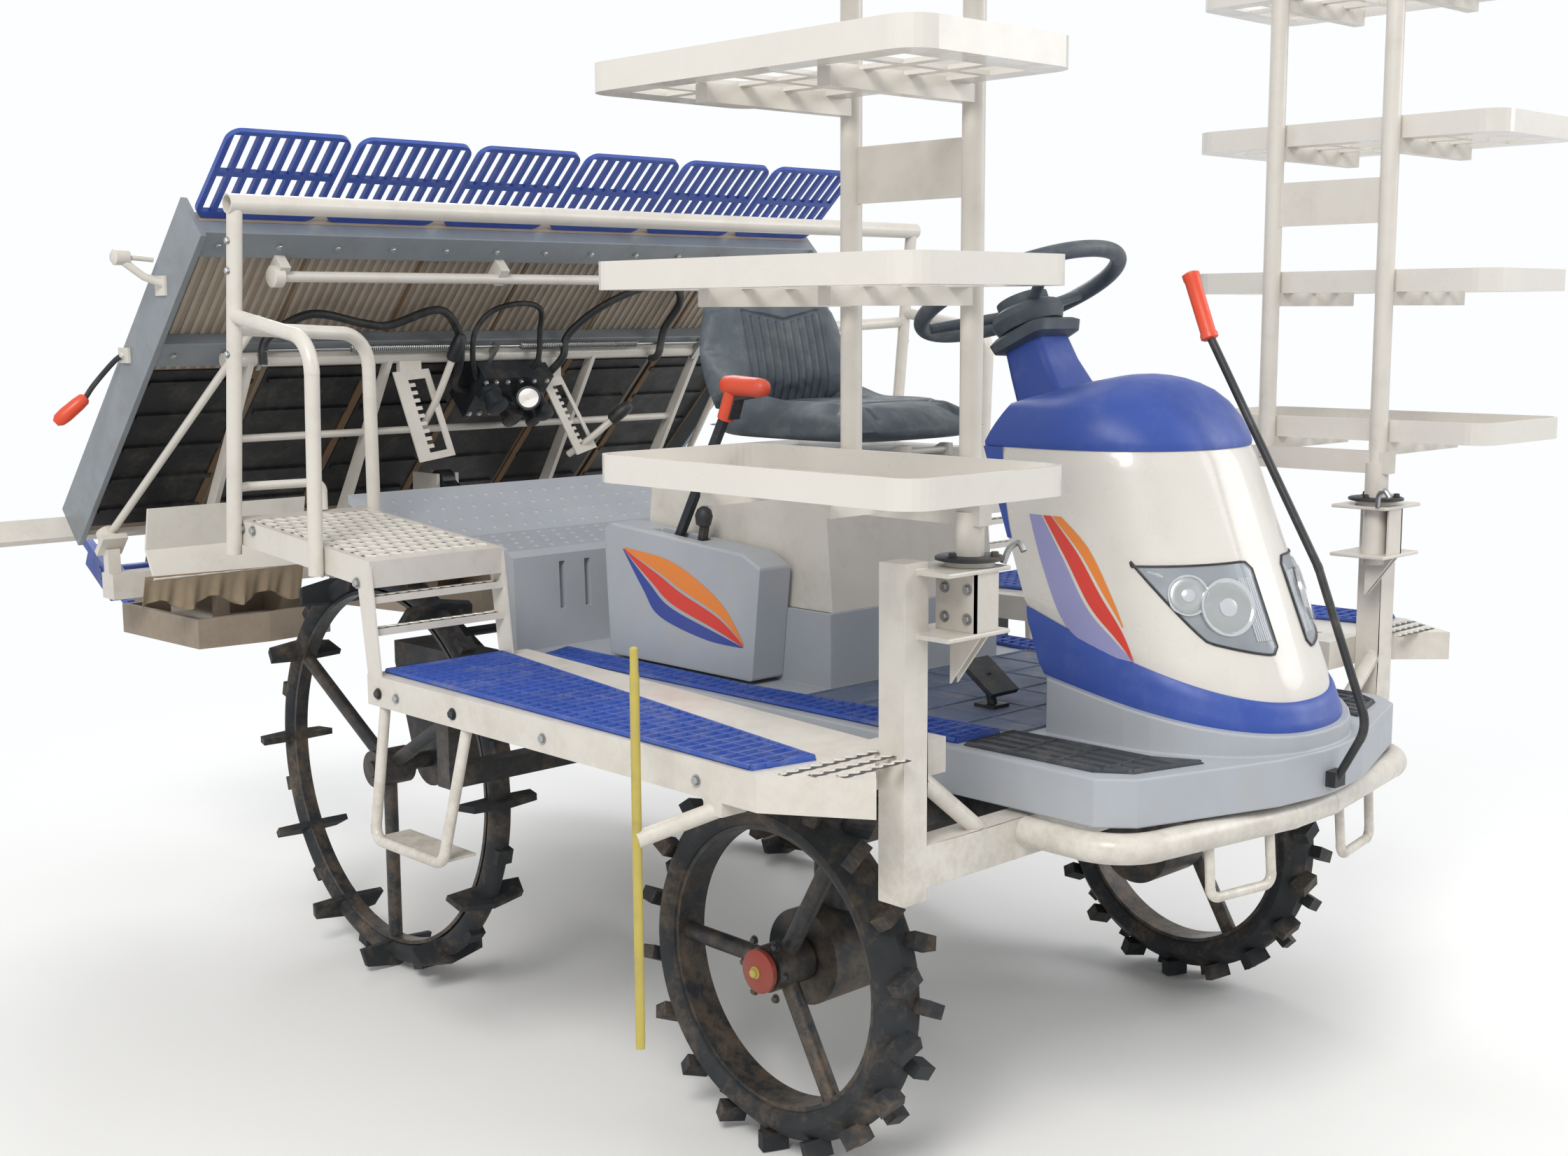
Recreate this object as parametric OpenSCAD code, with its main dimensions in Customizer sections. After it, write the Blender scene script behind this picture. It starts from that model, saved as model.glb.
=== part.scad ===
// Six-row riding rice transplanter. X is forward, Y is the machine's left, Z is up from the ground.
// Fore-and-aft places are measured from the front axle, which stands front_axle_x ahead of the origin.

/* [Layout] */
// Front axle ahead of the origin
front_axle_x = 838; // [820:1:860]
// Distance between the axles
wheelbase = 1240; // [1220:5:1270]
// Distance between the middle planes of the wheels
track = 1200; // [1190:5:1230]
// Height of the floor's top
floor_z = 715; // [710:1:730]
// Half width of the floor
floor_half_w = 440; // [420:5:450]
// Thickness of the moulded covers
cover_t = 14; // [10:1:20]

/* [Front wheels] */
// Radius over the lugs
front_r = 325; // [315:1:330]
// Outer radius of the rim
front_rim_r = 245; // [235:1:255]
// Width of the tyre
front_tyre_w = 95; // [80:1:100]
// Height of the lugs
front_lug_h = 24; // [16:1:28]
// Lugs on each side of the tyre
front_lugs = 18; // [12:1:20]
// Radius of the tube spokes
front_spoke_r = 16; // [12:1:20]

/* [Rear wheels] */
// Radius over the paddles
rear_r = 450; // [435:1:455]
// Radius of the tyre's ring
rear_ring_r = 412; // [400:1:416]
// Radius of the tyre's round section
rear_section_r = 23; // [18:1:25]
// Paddles round the tyre
rear_paddles = 12; // [8:1:14]
// Width of a paddle across the wheel
paddle_w = 176; // [140:1:190]
// Radius of the tube spokes
rear_spoke_r = 15; // [12:1:18]

/* [Hubs and axles] */
// Radius of the wheel shafts
shaft_r = 18; // [14:1:22]
// Outer radius of the wheel hubs
hub_r = 40; // [34:1:46]
// Length of the wheel hubs
hub_w = 84; // [70:1:90]
// Distance between the steering pivots
kingpin_track = 930; // [900:5:950]
// Radius of the steering pivots
kingpin_r = 28; // [22:1:32]
// Height of the front axle beam
front_beam_z = 535; // [525:1:540]
// Radius of the front gear cases
gear_case_r = 84; // [70:1:90]
// Height of the rear axle tube
rear_beam_z = 540; // [535:1:542]
// Top of the rear drop cases
drop_top = 700; // [680:1:720]
// Radial clearance of running fits
running_gap = 0.05; // [0.02:0.01:0.1]
// Clearance between seated pieces
seat_gap = 0.3; // [0.2:0.05:0.4]

/* [Frame] */
// Spacing of the frame rails
rail_spacing = 300; // [280:5:320]
// Width of a frame rail
rail_w = 50; // [40:1:55]
// Height of a frame rail
rail_h = 80; // [60:1:90]
// Height of the frame rails' top
rail_top = 670; // [665:1:675]
// Foremost point of the rails
rail_front_x = 590; // [570:5:600]
// Size of the outrigger tubes
outrigger = 38; // [30:1:40]

/* [Lift linkage] */
// Length of the lift links between pivots
link_l = 600; // [560:5:620]
// Angle of the raised links
link_rest = 27; // [24:1:28]
// Height of the lower pivots on the frame
link_low_z = 520; // [510:1:530]
// Spacing of the upper pivot above the lower
link_rise = 200; // [190:1:205]
// Pivots behind the rear axle
link_back = 140; // [130:1:150]
// Spacing of the lower links
link_spacing = 310; // [290:1:330]
// Thickness of the lower links
link_t = 26; // [20:1:30]
// Radius of the link pins
link_pin_r = 14; // [10:1:16]
// Radius of the link eyes
link_eye_r = 30; // [26:1:34]

/* [Steps and platforms] */
// Outer edge of the side steps from the middle
step_half_w = 945; // [930:1:960]
// Inner edge of the side steps at their rear end, from the middle
step_inner = 588; // [580:1:600]
// How far that edge draws outward on its way to the front
step_draw = 90; // [80:1:100]
// Top of the side steps' mats
step_z = 782; // [775:1:790]
// Depth of the side steps' rim
step_h = 64; // [50:1:70]
// Rear end of the side steps
step_rear_x = -737; // [-760:1:-720]
// Where the side steps' outer edge bends inward
step_bend_x = 310; // [280:1:330]
// Thickness of the rubber mats
mat_t = 8; // [5:1:10]
// Thickness of the sheet metal
sheet_t = 5; // [3:0.5:6]
// Width of the raised platforms
platform_w = 295; // [270:1:300]
// Rear end of the raised platforms
platform_rear_x = -1230; // [-1250:1:-1200]
// Front height of the raised platforms
platform_z = 983; // [975:1:990]
// Rise of the platforms from front to rear
platform_rise = 42; // [30:1:50]

/* [Rails] */
// Radius of the handrail tubes
handrail_r = 15; // [11:0.5:17]
// Radius of the rear rail
rear_rail_r = 19; // [15:0.5:22]
// Bore of the rear rail's open ends
rear_rail_bore_r = 16; // [12:0.5:17]
// Half length of the rear rail
rear_rail_half = 976; // [950:1:1000]
// Height of the rear rail
rear_rail_z = 1637; // [1600:1:1650]
// Place of the rear rail
rear_rail_x = -1131; // [-1150:1:-1110]
// Radius of the bumper tube
bumper_r = 24; // [20:0.5:26]
// Height of the bumper tube
bumper_z = 607; // [603:1:610]

/* [Hood] */
// Height of the hood's lower edge
hood_low_z = 745; // [740:1:750]
// Height of the blue band at the nose
hood_band_h = 39; // [34:1:44]
// Height where the blue cowl starts
hood_split_z = 1195; // [1180:1:1210]
// Height of the cowl's peak
hood_top_z = 1328; // [1310:1:1340]
// Nose of the hood at its lower edge
hood_nose_x = 655; // [645:1:660]
// Half width of the hood at its lower edge
hood_half_w = 236; // [228:1:242]
// Rear edge of the hood at its foot
hood_rear_x = 292; // [280:1:300]

/* [Seat] */
// Half width of the seat cushion
seat_half_w = 215; // [200:1:225]
// Height of the cushion's underside
seat_low_z = 1176; // [1172:1:1185]
// Height of the seat box's top
seat_box_z = 1150; // [1130:1:1160]
// Half width of the seat box
seat_box_half_w = 235; // [220:1:245]

/* [Steering] */
// Radius of the steering wheel's rim
steer_r = 188; // [180:1:195]
// Radius of the rim's section
steer_rim_r = 15; // [11:0.5:17]
// Radius of the steering shaft
steer_shaft_r = 14; // [11:0.5:16]
// Lean of the steering column
steer_lean = 24; // [20:1:28]
// Middle of the steering wheel's rim
steer_x = 12; // [0:1:20]
// Height of the steering wheel's rim
steer_z = 1458; // [1440:1:1470]

/* [Seedling racks] */
// Swivel axis ahead of the front axle
rack_x = 412; // [405:1:420]
// Swivel axis from the middle
rack_y = 604; // [595:1:610]
// Spacing of the rack's uprights
rack_upright_gap = 245; // [220:5:270]
// Radius of the uprights
rack_upright_r = 17; // [13:0.5:18]
// Length of a tray
tray_l = 660; // [640:5:670]
// Width of a tray
tray_w = 335; // [325:5:345]
// Height of a tray's rim
tray_h = 42; // [34:1:50]
// Underside of the lowest tray
tray_z = 1172; // [1165:1:1180]
// Spacing of the trays
tray_pitch = 287; // [280:1:295]
// Trays on each rack
tray_count = 4; // [2:1:4]
// Radius of the swivel tube
rack_pivot_r = 22; // [18:0.5:24]
// Rack post's square tube
post_w = 52; // [44:1:56]

/* [Planter] */
// Height of the rotors' axis when raised
rotor_z = 790; // [780:1:800]
// Place of the rotors' axis
rotor_x = -2290; // [-2300:1:-2280]
// Sweep radius of the planting claws
claw_r = 140; // [120:1:142]
// Spacing of the planted rows
row_pitch = 300; // [295:1:302]
// Radius of the rotor shafts
rotor_shaft_r = 16; // [12:1:18]
// Underside of the floats when raised
float_z = 662; // [655:1:670]
// Height of the floats
float_h = 70; // [50:1:75]
// Half length of the guide rail under the table
guide_half = 1070; // [1050:1:1080]

/* [Seedling table] */
// Half width of the table
table_half_w = 892; // [880:1:895]
// Top edge of the table, ahead of the front axle
table_top_x = -1462; // [-1475:1:-1455]
// Height of the table's top edge
table_top_z = 1638; // [1630:1:1645]
// Length of the table down its slope
table_l = 1000; // [980:5:1005]
// Slope of the table
table_slope = 44.8; // [44:0.1:46]
// Thickness of the table's bed
table_t = 26; // [18:1:30]
// Length of the blue racks above the table
fence_l = 243; // [220:1:260]
// Width of one blue rack
fence_w = 280; // [270:1:285]
// Sideways travel of the table each way
table_shift = 140; // [120:1:145]
// Depth of the rails under the table
table_rail_h = 34; // [28:1:38]

/* [Hidden] */

white_paint = "#d6d1c8";
blue_plastic = "#2d4ba0";
orange_paint = "#e14e2e";
grey_plastic = "#a9aeb6";
black_iron = "#22272b";
rubber = "#1d2124";
slate_vinyl = "#4a545c";
orange = "#e1502d";
tan_board = "#96897a";
clear_lamp = "#d8e2ea";

track_half = track / 2;
kingpin_y = kingpin_track / 2;
front_axle_z = front_r;
rear_axle_z = rear_r;
rear_axle_x = -wheelbase;
rail_y = rail_spacing / 2;
rail_low = rail_top - rail_h;
outrigger_x = -560;
step_top = step_z - mat_t;
step_low = step_z - step_h;
platform_inner = step_half_w - platform_w;
step_mat_inner = platform_inner + sheet_t + 2;
platform_front_x = step_rear_x + 22;
platform_l = platform_front_x - platform_rear_x;
platform_slope = atan(platform_rise / platform_l);
deck_front_x = -980;
deck_rear_x = -1380;
deck_half_w = platform_inner - 55;

// Lift linkage: a parallelogram, so the planter stays level
link_x = rear_axle_x - link_back;
link_end_x = link_x - link_l * cos(link_rest);
link_end_rise = link_l * sin(link_rest);
mast_low_z = link_low_z + link_end_rise;
mast_top_z = mast_low_z + link_rise;
link_y = link_spacing / 2;
lug_t = 10;
beam_x = link_end_x - 80;
beam_z = mast_low_z + 6;
beam_w = 60;
case_y = 2 * row_pitch;
table_rail_x = -365;

// A bend is a little fuller than the straight tube that runs into it
bend_swell = 0.4;
bend_tuck = 2;

rack_top_z = tray_z + (tray_count - 1) * tray_pitch;
bracket_low_z = 949;
bracket_top_z = 1044;
bracket_t = 7;
post_x = 368;
post_y = 700;
post_low_z = 545;
post_top_z = 1062;
base_bar_z = tray_z - 40;
lever_foot_z = 930;
step_front_x = post_x - post_w / 2;
step_tongue_x = step_front_x - 70;
step_tongue_y = rack_y - post_w / 2 - 4;

// The steering column stops just short of the wheel's boss
boss_depth = 62;

function unit(v) = v / norm(v);
function turn_angle(a, b, c) = acos(unit(b - a) * unit(c - b));
function setback(a, b, c, bend) = bend * tan(turn_angle(a, b, c) / 2);
function arc(cx, cy, r, from, to, steps = 6) =
  [for (i = [0:steps]) [cx + r * cos(from + (to - from) * i / steps), cy + r * sin(from + (to - from) * i / steps)]];
function round_box(x0, y0, x1, y1, r) =
  concat(arc(x1 - r, y1 - r, r, 0, 90), arc(x0 + r, y1 - r, r, 90, 180),
         arc(x0 + r, y0 + r, r, 180, 270), arc(x1 - r, y0 + r, r, 270, 360));

module painted(c) {
  color(c) translate([front_axle_x, 0, 0]) children();
}

module both() {
  children();
  mirror([0, 1, 0]) children();
}

module block(x0, x1, y0, y1, z0, z1) {
  translate([x0, y0, z0]) cube([x1 - x0, y1 - y0, z1 - z0]);
}

// A side profile in X and Z, extruded across the machine from y0 to y1
module across(y0, y1) {
  translate([0, y1, 0]) rotate([90, 0, 0]) linear_extrude(y1 - y0) children();
}

// A plan profile in X and Y, extruded upward from z0 to z1
module upward(z0, z1) {
  translate([0, 0, z0]) linear_extrude(z1 - z0) children();
}

module rod(a, b, r) {
  d = b - a;
  translate(a) rotate([0, acos(d[2] / norm(d)), atan2(d[1], d[0])]) cylinder(r = r, h = norm(d), $fn = 24);
}

module pin_y(x, z, y0, y1, r) {
  translate([x, y1, z]) rotate([90, 0, 0]) cylinder(r = r, h = y1 - y0, $fn = 32);
}

module elbow(a, b, c, r, bend) {
  u = unit(b - a);
  v = unit(c - b);
  w = unit(cross(u, v));
  inward = cross(w, u);
  centre = b - u * setback(a, b, c, bend) + inward * bend;
  multmatrix([
    [-inward[0], u[0], w[0], centre[0]],
    [-inward[1], u[1], w[1], centre[1]],
    [-inward[2], u[2], w[2], centre[2]],
    [0, 0, 0, 1]
  ]) rotate_extrude(angle = turn_angle(a, b, c), $fn = 48) translate([bend, 0]) circle(r = r + bend_swell, $fn = 24);
}

// A tube along straight runs, tucked a little way into the round bends between them
module bent_tube(points, r, bend) {
  last = len(points) - 1;
  for (i = [0:last - 1]) {
    u = unit(points[i + 1] - points[i]);
    from = i == 0 ? 0 : setback(points[i - 1], points[i], points[i + 1], bend) - bend_tuck;
    to = i == last - 1 ? 0 : setback(points[i], points[i + 1], points[i + 2], bend) - bend_tuck;
    rod(points[i] + u * from, points[i + 1] - u * to, r);
  }
  for (i = [1:last - 1]) elbow(points[i - 1], points[i], points[i + 1], r, bend);
}

// Frame, engine and axles

module main_frame() {
  front_bar_x = rail_front_x - rail_w;
  painted(black_iron) {
    both() {
      block(link_x, rail_front_x, rail_y - rail_w / 2, rail_y + rail_w / 2, rail_low, rail_top);
      block(outrigger_x, outrigger_x + outrigger, rail_y, step_half_w - 30, rail_low, rail_low + outrigger);
      for (y = [step_edge(outrigger_x) - 6, step_half_w - 30 - outrigger]) {
        block(outrigger_x, outrigger_x + outrigger, y, y + outrigger, rail_low, step_low);
      }
      // Lower lift lugs with their pin between the rails
      across(link_y - link_t / 2 - 2 - lug_t, link_y - link_t / 2 - 2)
        polygon([[link_x + 60, rail_low + 10], [link_x - 4, rail_low + 10], [link_x - 30, link_low_z + 16],
                 [link_x - 18, link_low_z - 26], [link_x + 20, link_low_z - 26]]);
      // Upper lift lugs
      across(24, 24 + lug_t)
        polygon([[link_x + 50, rail_top - 4], [link_x - 26, link_low_z + link_rise - 10],
                 [link_x - 18, link_low_z + link_rise + 24], [link_x + 20, link_low_z + link_rise + 24],
                 [link_x + 130, rail_top - 4]]);
    }
    block(front_bar_x, rail_front_x, -rail_y, rail_y, rail_low, rail_top);
    block(link_x + 20, link_x + 180, -rail_y, rail_y, rail_top - 40, rail_top);
    pin_y(link_x, link_low_z, -link_y - link_t / 2 - 8, link_y + link_t / 2 + 8, link_pin_r);
    pin_y(link_x, link_low_z + link_rise, -24 - lug_t, 24 + lug_t, link_pin_r);
  }
}

module transmission() {
  painted(black_iron) {
    across(-rail_y + rail_w / 2 - 40, rail_y - rail_w / 2 + 40)
      polygon([[-150, rail_low], [-150, front_beam_z - 60], [-110, front_beam_z - 90], [120, front_beam_z - 90],
               [180, front_beam_z - 30], [180, rail_low]]);
  }
}

module engine_block() {
  painted(black_iron) block(-690, -360, -170, 170, rail_top, seat_box_z - cover_t - 130);
}

module front_axle() {
  painted(black_iron) both() {
    pin_y(0, front_beam_z, rail_y - rail_w / 2 + 40, kingpin_y - kingpin_r - 8, 38);
    translate([0, kingpin_y, front_beam_z - 42]) difference() {
      cylinder(r = kingpin_r + 20, h = 84, $fn = 48);
      translate([0, 0, -1]) cylinder(r = kingpin_r + running_gap, h = 86, $fn = 48);
    }
  }
}

module knuckle(side) {
  case_in = kingpin_y - 50;
  case_out = track_half - hub_w / 2 - 6;
  painted(black_iron) mirror([0, side, 0]) {
    translate([0, kingpin_y, front_axle_z]) cylinder(r = kingpin_r, h = front_beam_z + 46 - front_axle_z, $fn = 48);
    translate([0, kingpin_y, front_beam_z + 46]) cylinder(r = kingpin_r + 12, h = 12, $fn = 48);
    translate([0, kingpin_y, front_axle_z]) cylinder(r = kingpin_r + 14, h = front_beam_z - 46 - front_axle_z, $fn = 48);
    pin_y(0, front_axle_z, case_in, case_out, gear_case_r);
    pin_y(0, front_axle_z, case_out - 1, track_half + hub_w / 2 + 8, shaft_r);
  }
}

module knuckle_right() {
  knuckle(1);
}

module knuckle_left() {
  knuckle(0);
}

module rear_axle() {
  drop_in = 400;
  drop_out = track_half - paddle_w / 2 - 14;
  painted(black_iron) {
    pin_y(rear_axle_x, rear_beam_z, -drop_out, drop_out, 46);
    block(rear_axle_x - 60, rear_axle_x + 130, -rail_y - rail_w / 2, rail_y + rail_w / 2, rear_beam_z - 90, rail_low);
    both() {
      across(drop_in, drop_out)
        polygon(concat([[rear_axle_x + 160, drop_top], [rear_axle_x - 130, drop_top], [rear_axle_x - 130, drop_top - 50]],
                       arc(rear_axle_x, rear_axle_z, 62, 190, 350, 10)));
      pin_y(rear_axle_x, rear_axle_z, drop_out - 1, track_half + hub_w / 2 + 8, shaft_r);
    }
  }
}

// Wheels, about their own axis along Y

module at_wheel(x, z, side) {
  translate([x, side * track_half, z]) rotate([90, 0, 0]) children();
}

module spoked_rim(rim_r, band_w, spoke_r, first_spoke) {
  band_t = 8;
  difference() {
    union() {
      cylinder(r = hub_r, h = hub_w, center = true, $fn = 48);
      for (i = [0:2]) {
        rotate([0, 0, first_spoke + 120 * i]) rotate([0, 90, 0])
          cylinder(r = spoke_r, h = rim_r - band_t / 2, $fn = 24);
      }
      difference() {
        cylinder(r = rim_r, h = band_w, center = true, $fn = 96);
        cylinder(r = rim_r - band_t, h = band_w + 2, center = true, $fn = 96);
      }
    }
    cylinder(r = shaft_r + running_gap, h = hub_w + 2, center = true, $fn = 48);
  }
}

module front_tyre() {
  crown_r = front_r - front_lug_h;
  half = front_tyre_w / 2;
  rotate_extrude($fn = 96)
    polygon(concat([[front_rim_r + seat_gap, -half + 16]], arc(crown_r - 30, -half + 30, 30, 215, 270, 4),
                   [[crown_r, -half + 32], [crown_r, half - 32]], arc(crown_r - 30, half - 30, 30, 90, 145, 4),
                   [[front_rim_r + seat_gap, half - 16]]));
  for (i = [0:front_lugs - 1], end = [-1, 1]) {
    rotate([0, 0, 360 / front_lugs * (i + (end > 0 ? 0.5 : 0))])
      translate([crown_r - 8, 0, end * half / 2]) rotate([end * 24, 0, 0])
        translate([0, -12, -half / 2]) cube([front_lug_h + 8 - 0.7, 24, half]);
  }
}

module rear_tyre() {
  rotate_extrude($fn = 96) translate([rear_ring_r, 0]) circle(r = rear_section_r, $fn = 20);
  for (i = [0:rear_paddles - 1]) {
    rotate([0, 0, 360 / rear_paddles * i]) {
      translate([rear_ring_r - 16, 0, 0]) rotate([-90, 0, 0]) translate([0, 0, -7]) linear_extrude(14)
        polygon([[0, -paddle_w / 2], [rear_r - rear_ring_r + 2, -paddle_w / 2 + 12],
                 [rear_r - rear_ring_r + 15.9, 0],
                 [rear_r - rear_ring_r + 2, paddle_w / 2 - 12], [0, paddle_w / 2], [-6, 0]]);
      rotate([0, 0, 180 / rear_paddles]) translate([rear_ring_r, -16, -18]) cube([rear_section_r + 8, 32, 36]);
    }
  }
}

module rim_front_right() {
  painted(black_iron) at_wheel(0, front_axle_z, -1) spoked_rim(front_rim_r, front_tyre_w - 34, front_spoke_r, 60);
}

module rim_front_left() {
  painted(black_iron) at_wheel(0, front_axle_z, 1) spoked_rim(front_rim_r, front_tyre_w - 34, front_spoke_r, 60);
}

module tyre_front_right() {
  painted(rubber) at_wheel(0, front_axle_z, -1) front_tyre();
}

module tyre_front_left() {
  painted(rubber) at_wheel(0, front_axle_z, 1) front_tyre();
}

module rear_rim() {
  spoked_rim(rear_ring_r - rear_section_r - seat_gap, 30, rear_spoke_r, 30);
}

module rim_rear_right() {
  painted(black_iron) at_wheel(rear_axle_x, rear_axle_z, -1) rear_rim();
}

module rim_rear_left() {
  painted(black_iron) at_wheel(rear_axle_x, rear_axle_z, 1) rear_rim();
}

module tyre_rear_right() {
  painted(rubber) at_wheel(rear_axle_x, rear_axle_z, -1) rear_tyre();
}

module tyre_rear_left() {
  painted(rubber) at_wheel(rear_axle_x, rear_axle_z, 1) rear_tyre();
}

// Body covers

floor_nose_x = 676;
floor_corner_x = 575;
floor_skirt = 78;

function floor_half_outline(inset) = [
  [floor_nose_x - inset, 24], [floor_nose_x - 14 - inset, 130], [floor_corner_x - inset * 0.7, floor_half_w - 45 - inset * 0.5],
  [floor_corner_x - 50 - inset * 0.5, floor_half_w - inset], [deck_front_x - 40, floor_half_w - inset]
];
function mirrored(points) = concat(points, [for (i = [len(points) - 1:-1:0]) [points[i][0], -points[i][1]]]);

// Hood sections: a rounded nose that leans back and narrows upward, and a rear edge that leans over the floor
function hood_rise(z) = (z - hood_low_z) / (hood_split_z - hood_low_z);
function cowl_rise(z) = max(0, (z - hood_split_z) / (hood_top_z - hood_split_z));
function hood_front(z) = hood_nose_x - 190 * hood_rise(z) - 75 * pow(cowl_rise(z), 2);
function hood_rear(z) = hood_rear_x - 172 * min(1, hood_rise(z)) + 64 * cowl_rise(z);
function hood_width(z) = hood_half_w - 12 * hood_rise(z) - 100 * pow(cowl_rise(z), 2);
function hood_section(z, grow = 0) =
  let (mid_x = hood_rear(z) + 90, w = hood_width(z) + grow)
  concat([[hood_rear(z) - grow, -w]],
         [for (i = [0:20]) let (t = -90 + 9 * i)
           [mid_x + (hood_front(z) + grow - mid_x) * pow(abs(cos(t)), 0.88), w * sign(sin(t)) * pow(abs(sin(t)), 0.88)]],
         [[hood_rear(z) - grow, w]]);

// Lower and upper edges of the blue band, which rises and widens rearward
function band_low(x) = hood_low_z + (hood_nose_x - x) * 0.176;
function band_high(x) = band_low(x) + hood_band_h + (hood_nose_x - x) * 0.15;
band_front_x = hood_nose_x + 50;
band_rear_x = 80;

// A solid through a stack of plan sections, one at each height
module loft(heights, sections) {
  n = len(sections[0]);
  m = len(heights);
  points = [for (k = [0:m - 1]) for (p = sections[k]) [p[0], p[1], heights[k]]];
  faces = concat(
    [[for (i = [0:n - 1]) i]],
    [for (k = [0:m - 2]) for (i = [0:n - 1])
      [k * n + i, (k + 1) * n + i, (k + 1) * n + (i + 1) % n, k * n + (i + 1) % n]],
    [[for (i = [n - 1:-1:0]) (m - 1) * n + i]]);
  polyhedron(points, faces);
}

module hood_slice(z0, z1, levels, grow = 0) {
  heights = [for (k = [0:levels]) z0 + (z1 - z0) * k / levels];
  loft(heights, [for (z = heights) hood_section(z, grow)]);
}

module floor_cover() {
  painted(grey_plastic) difference() {
    union() {
      upward(floor_z - floor_skirt, floor_z) polygon(mirrored(floor_half_outline(0)));
      intersection() {
        upward(floor_z - 1, hood_low_z + 90) polygon(hood_section(hood_low_z, 12));
        across(-300, 300)
          polygon([[band_front_x, floor_z - 2], [band_front_x, band_low(band_front_x)],
                   [band_rear_x, band_low(band_rear_x)], [band_rear_x, floor_z - 2]]);
      }
      block(-800, -235, -seat_box_half_w - 12, seat_box_half_w + 12, floor_z - 1, 860);
    }
    upward(floor_z - floor_skirt - 1, floor_z - cover_t) polygon(mirrored(floor_half_outline(cover_t)));
    block(-800 + cover_t, -235 - cover_t, -seat_box_half_w, seat_box_half_w, floor_z - cover_t - 1, 861);
  }
}

module rear_deck() {
  deck_t = 20;
  rear_z = 1035;
  mid_x = -1200;
  mid_z = 942;
  painted(grey_plastic) {
    difference() {
      across(-floor_half_w + 1, floor_half_w - 1)
        polygon([[deck_front_x, floor_z], [deck_front_x - 6, 915], [deck_front_x - 30, 926], [mid_x, mid_z],
                 [deck_rear_x, rear_z], [deck_rear_x, rear_z - deck_t], [mid_x + 6, mid_z - deck_t],
                 [deck_front_x - 40, 902], [deck_front_x - cover_t - 4, floor_z]]);
      for (y = [-312, -244, -176]) {
        block(deck_front_x - 60, deck_front_x + 5, y - 8, y + 8, 795, 898);
      }
    }
    both() across(floor_half_w - 1, deck_half_w)
      polygon([[deck_front_x - 60, 928], [mid_x, mid_z], [deck_rear_x, rear_z], [deck_rear_x, rear_z - deck_t],
               [mid_x + 6, mid_z - deck_t], [deck_front_x - 60, 906]]);
  }
}

module seat_box() {
  wall = cover_t;
  painted(white_paint) {
    difference() {
      across(-seat_box_half_w, seat_box_half_w)
        polygon([[-795, 860], [-240, 860], [-262, 1100], [-300, seat_box_z], [-720, seat_box_z], [-770, 1080]]);
      across(-seat_box_half_w + wall, seat_box_half_w - wall)
        polygon([[-795 + wall, 859], [-240 - wall, 859], [-262 - wall, 1096], [-300 - wall / 2, seat_box_z - wall],
                 [-720 + wall / 2, seat_box_z - wall], [-770 + wall, 1078]]);
    }
    both() across(54, 66)
      polygon([[-300, seat_box_z - 20], [-276, 1120], [-204, seat_low_z - 30], [-204, seat_low_z - 6],
               [-228, seat_low_z - 6]]);
    pin_y(-216, seat_low_z - 18, -66, 66, 6);
  }
}

module lever_box() {
  painted(grey_plastic) difference() {
    across(-seat_box_half_w - 95, -seat_box_half_w - 12 - seat_gap)
      polygon([[-800, floor_z + mat_t], [-815, 985], [-790, 998], [-390, 968], [-340, 945], [-365, floor_z + mat_t]]);
    block(-700, -540, -seat_box_half_w - 65, -seat_box_half_w - 33, lever_foot_z, 1020);
  }
}

module control_levers() {
  y = -seat_box_half_w - 49;
  foot_h = 14;
  top = lever_foot_z + foot_h;
  painted(black_iron) across(y - 7, y + 7) {
    polygon([[-660, lever_foot_z], [-624, lever_foot_z], [-624, top], [-638, top], [-470, 1236], [-486, 1244],
             [-656, top], [-660, top]]);
    polygon([[-585, lever_foot_z], [-549, lever_foot_z], [-549, top], [-556, top], [-541, 1012], [-555, 1012],
             [-572, top], [-585, top]]);
  }
  // Pistol grip on the long lever
  painted(orange_paint) across(y - 13, y + 13)
    polygon([[-490, 1224], [-458, 1221], [-444, 1258], [-380, 1268], [-368, 1286], [-376, 1300], [-462, 1304], [-476, 1290]]);
}

module pedals() {
  painted(black_iron) for (y = [-150, 150]) {
    block(58, 104, y - 22, y + 22, floor_z, floor_z + 8);
    rod([84, y, floor_z + 5], [68, y, 776], 9);
    translate([34, y - 38, 792]) rotate([0, 35, 0]) cube([90, 76, 10]);
  }
}

module hood_body() {
  painted(white_paint) intersection() {
    hood_slice(hood_low_z - 10, hood_split_z, 12);
    across(-300, 300)
      polygon([[band_front_x, band_high(band_front_x)], [band_front_x, hood_top_z], [band_rear_x, hood_top_z],
               [band_rear_x, band_high(band_rear_x)]]);
  }
}

module hood_top() {
  painted(blue_plastic) difference() {
    union() {
      hood_slice(hood_split_z, hood_top_z, 8);
      at_steering() translate([0, 0, -275]) cylinder(r = 50, h = 275 - boss_depth - 6, $fn = 48);
    }
    block(-100, hood_rear(hood_split_z) + 120, -80, 80, hood_split_z - 100, hood_split_z);
    at_steering() translate([0, 0, -boss_depth - 80]) cylinder(r = steer_shaft_r + running_gap, h = 80, $fn = 96);
  }
}

module hood_skirt() {
  painted(blue_plastic) intersection() {
    hood_slice(hood_low_z - 15, hood_low_z + 200, 8, 3);
    across(-300, 300)
      polygon([[band_front_x, band_low(band_front_x)], [band_front_x, band_high(band_front_x)],
               [band_rear_x, band_high(band_rear_x)], [band_rear_x, band_low(band_rear_x)]]);
  }
}

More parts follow.
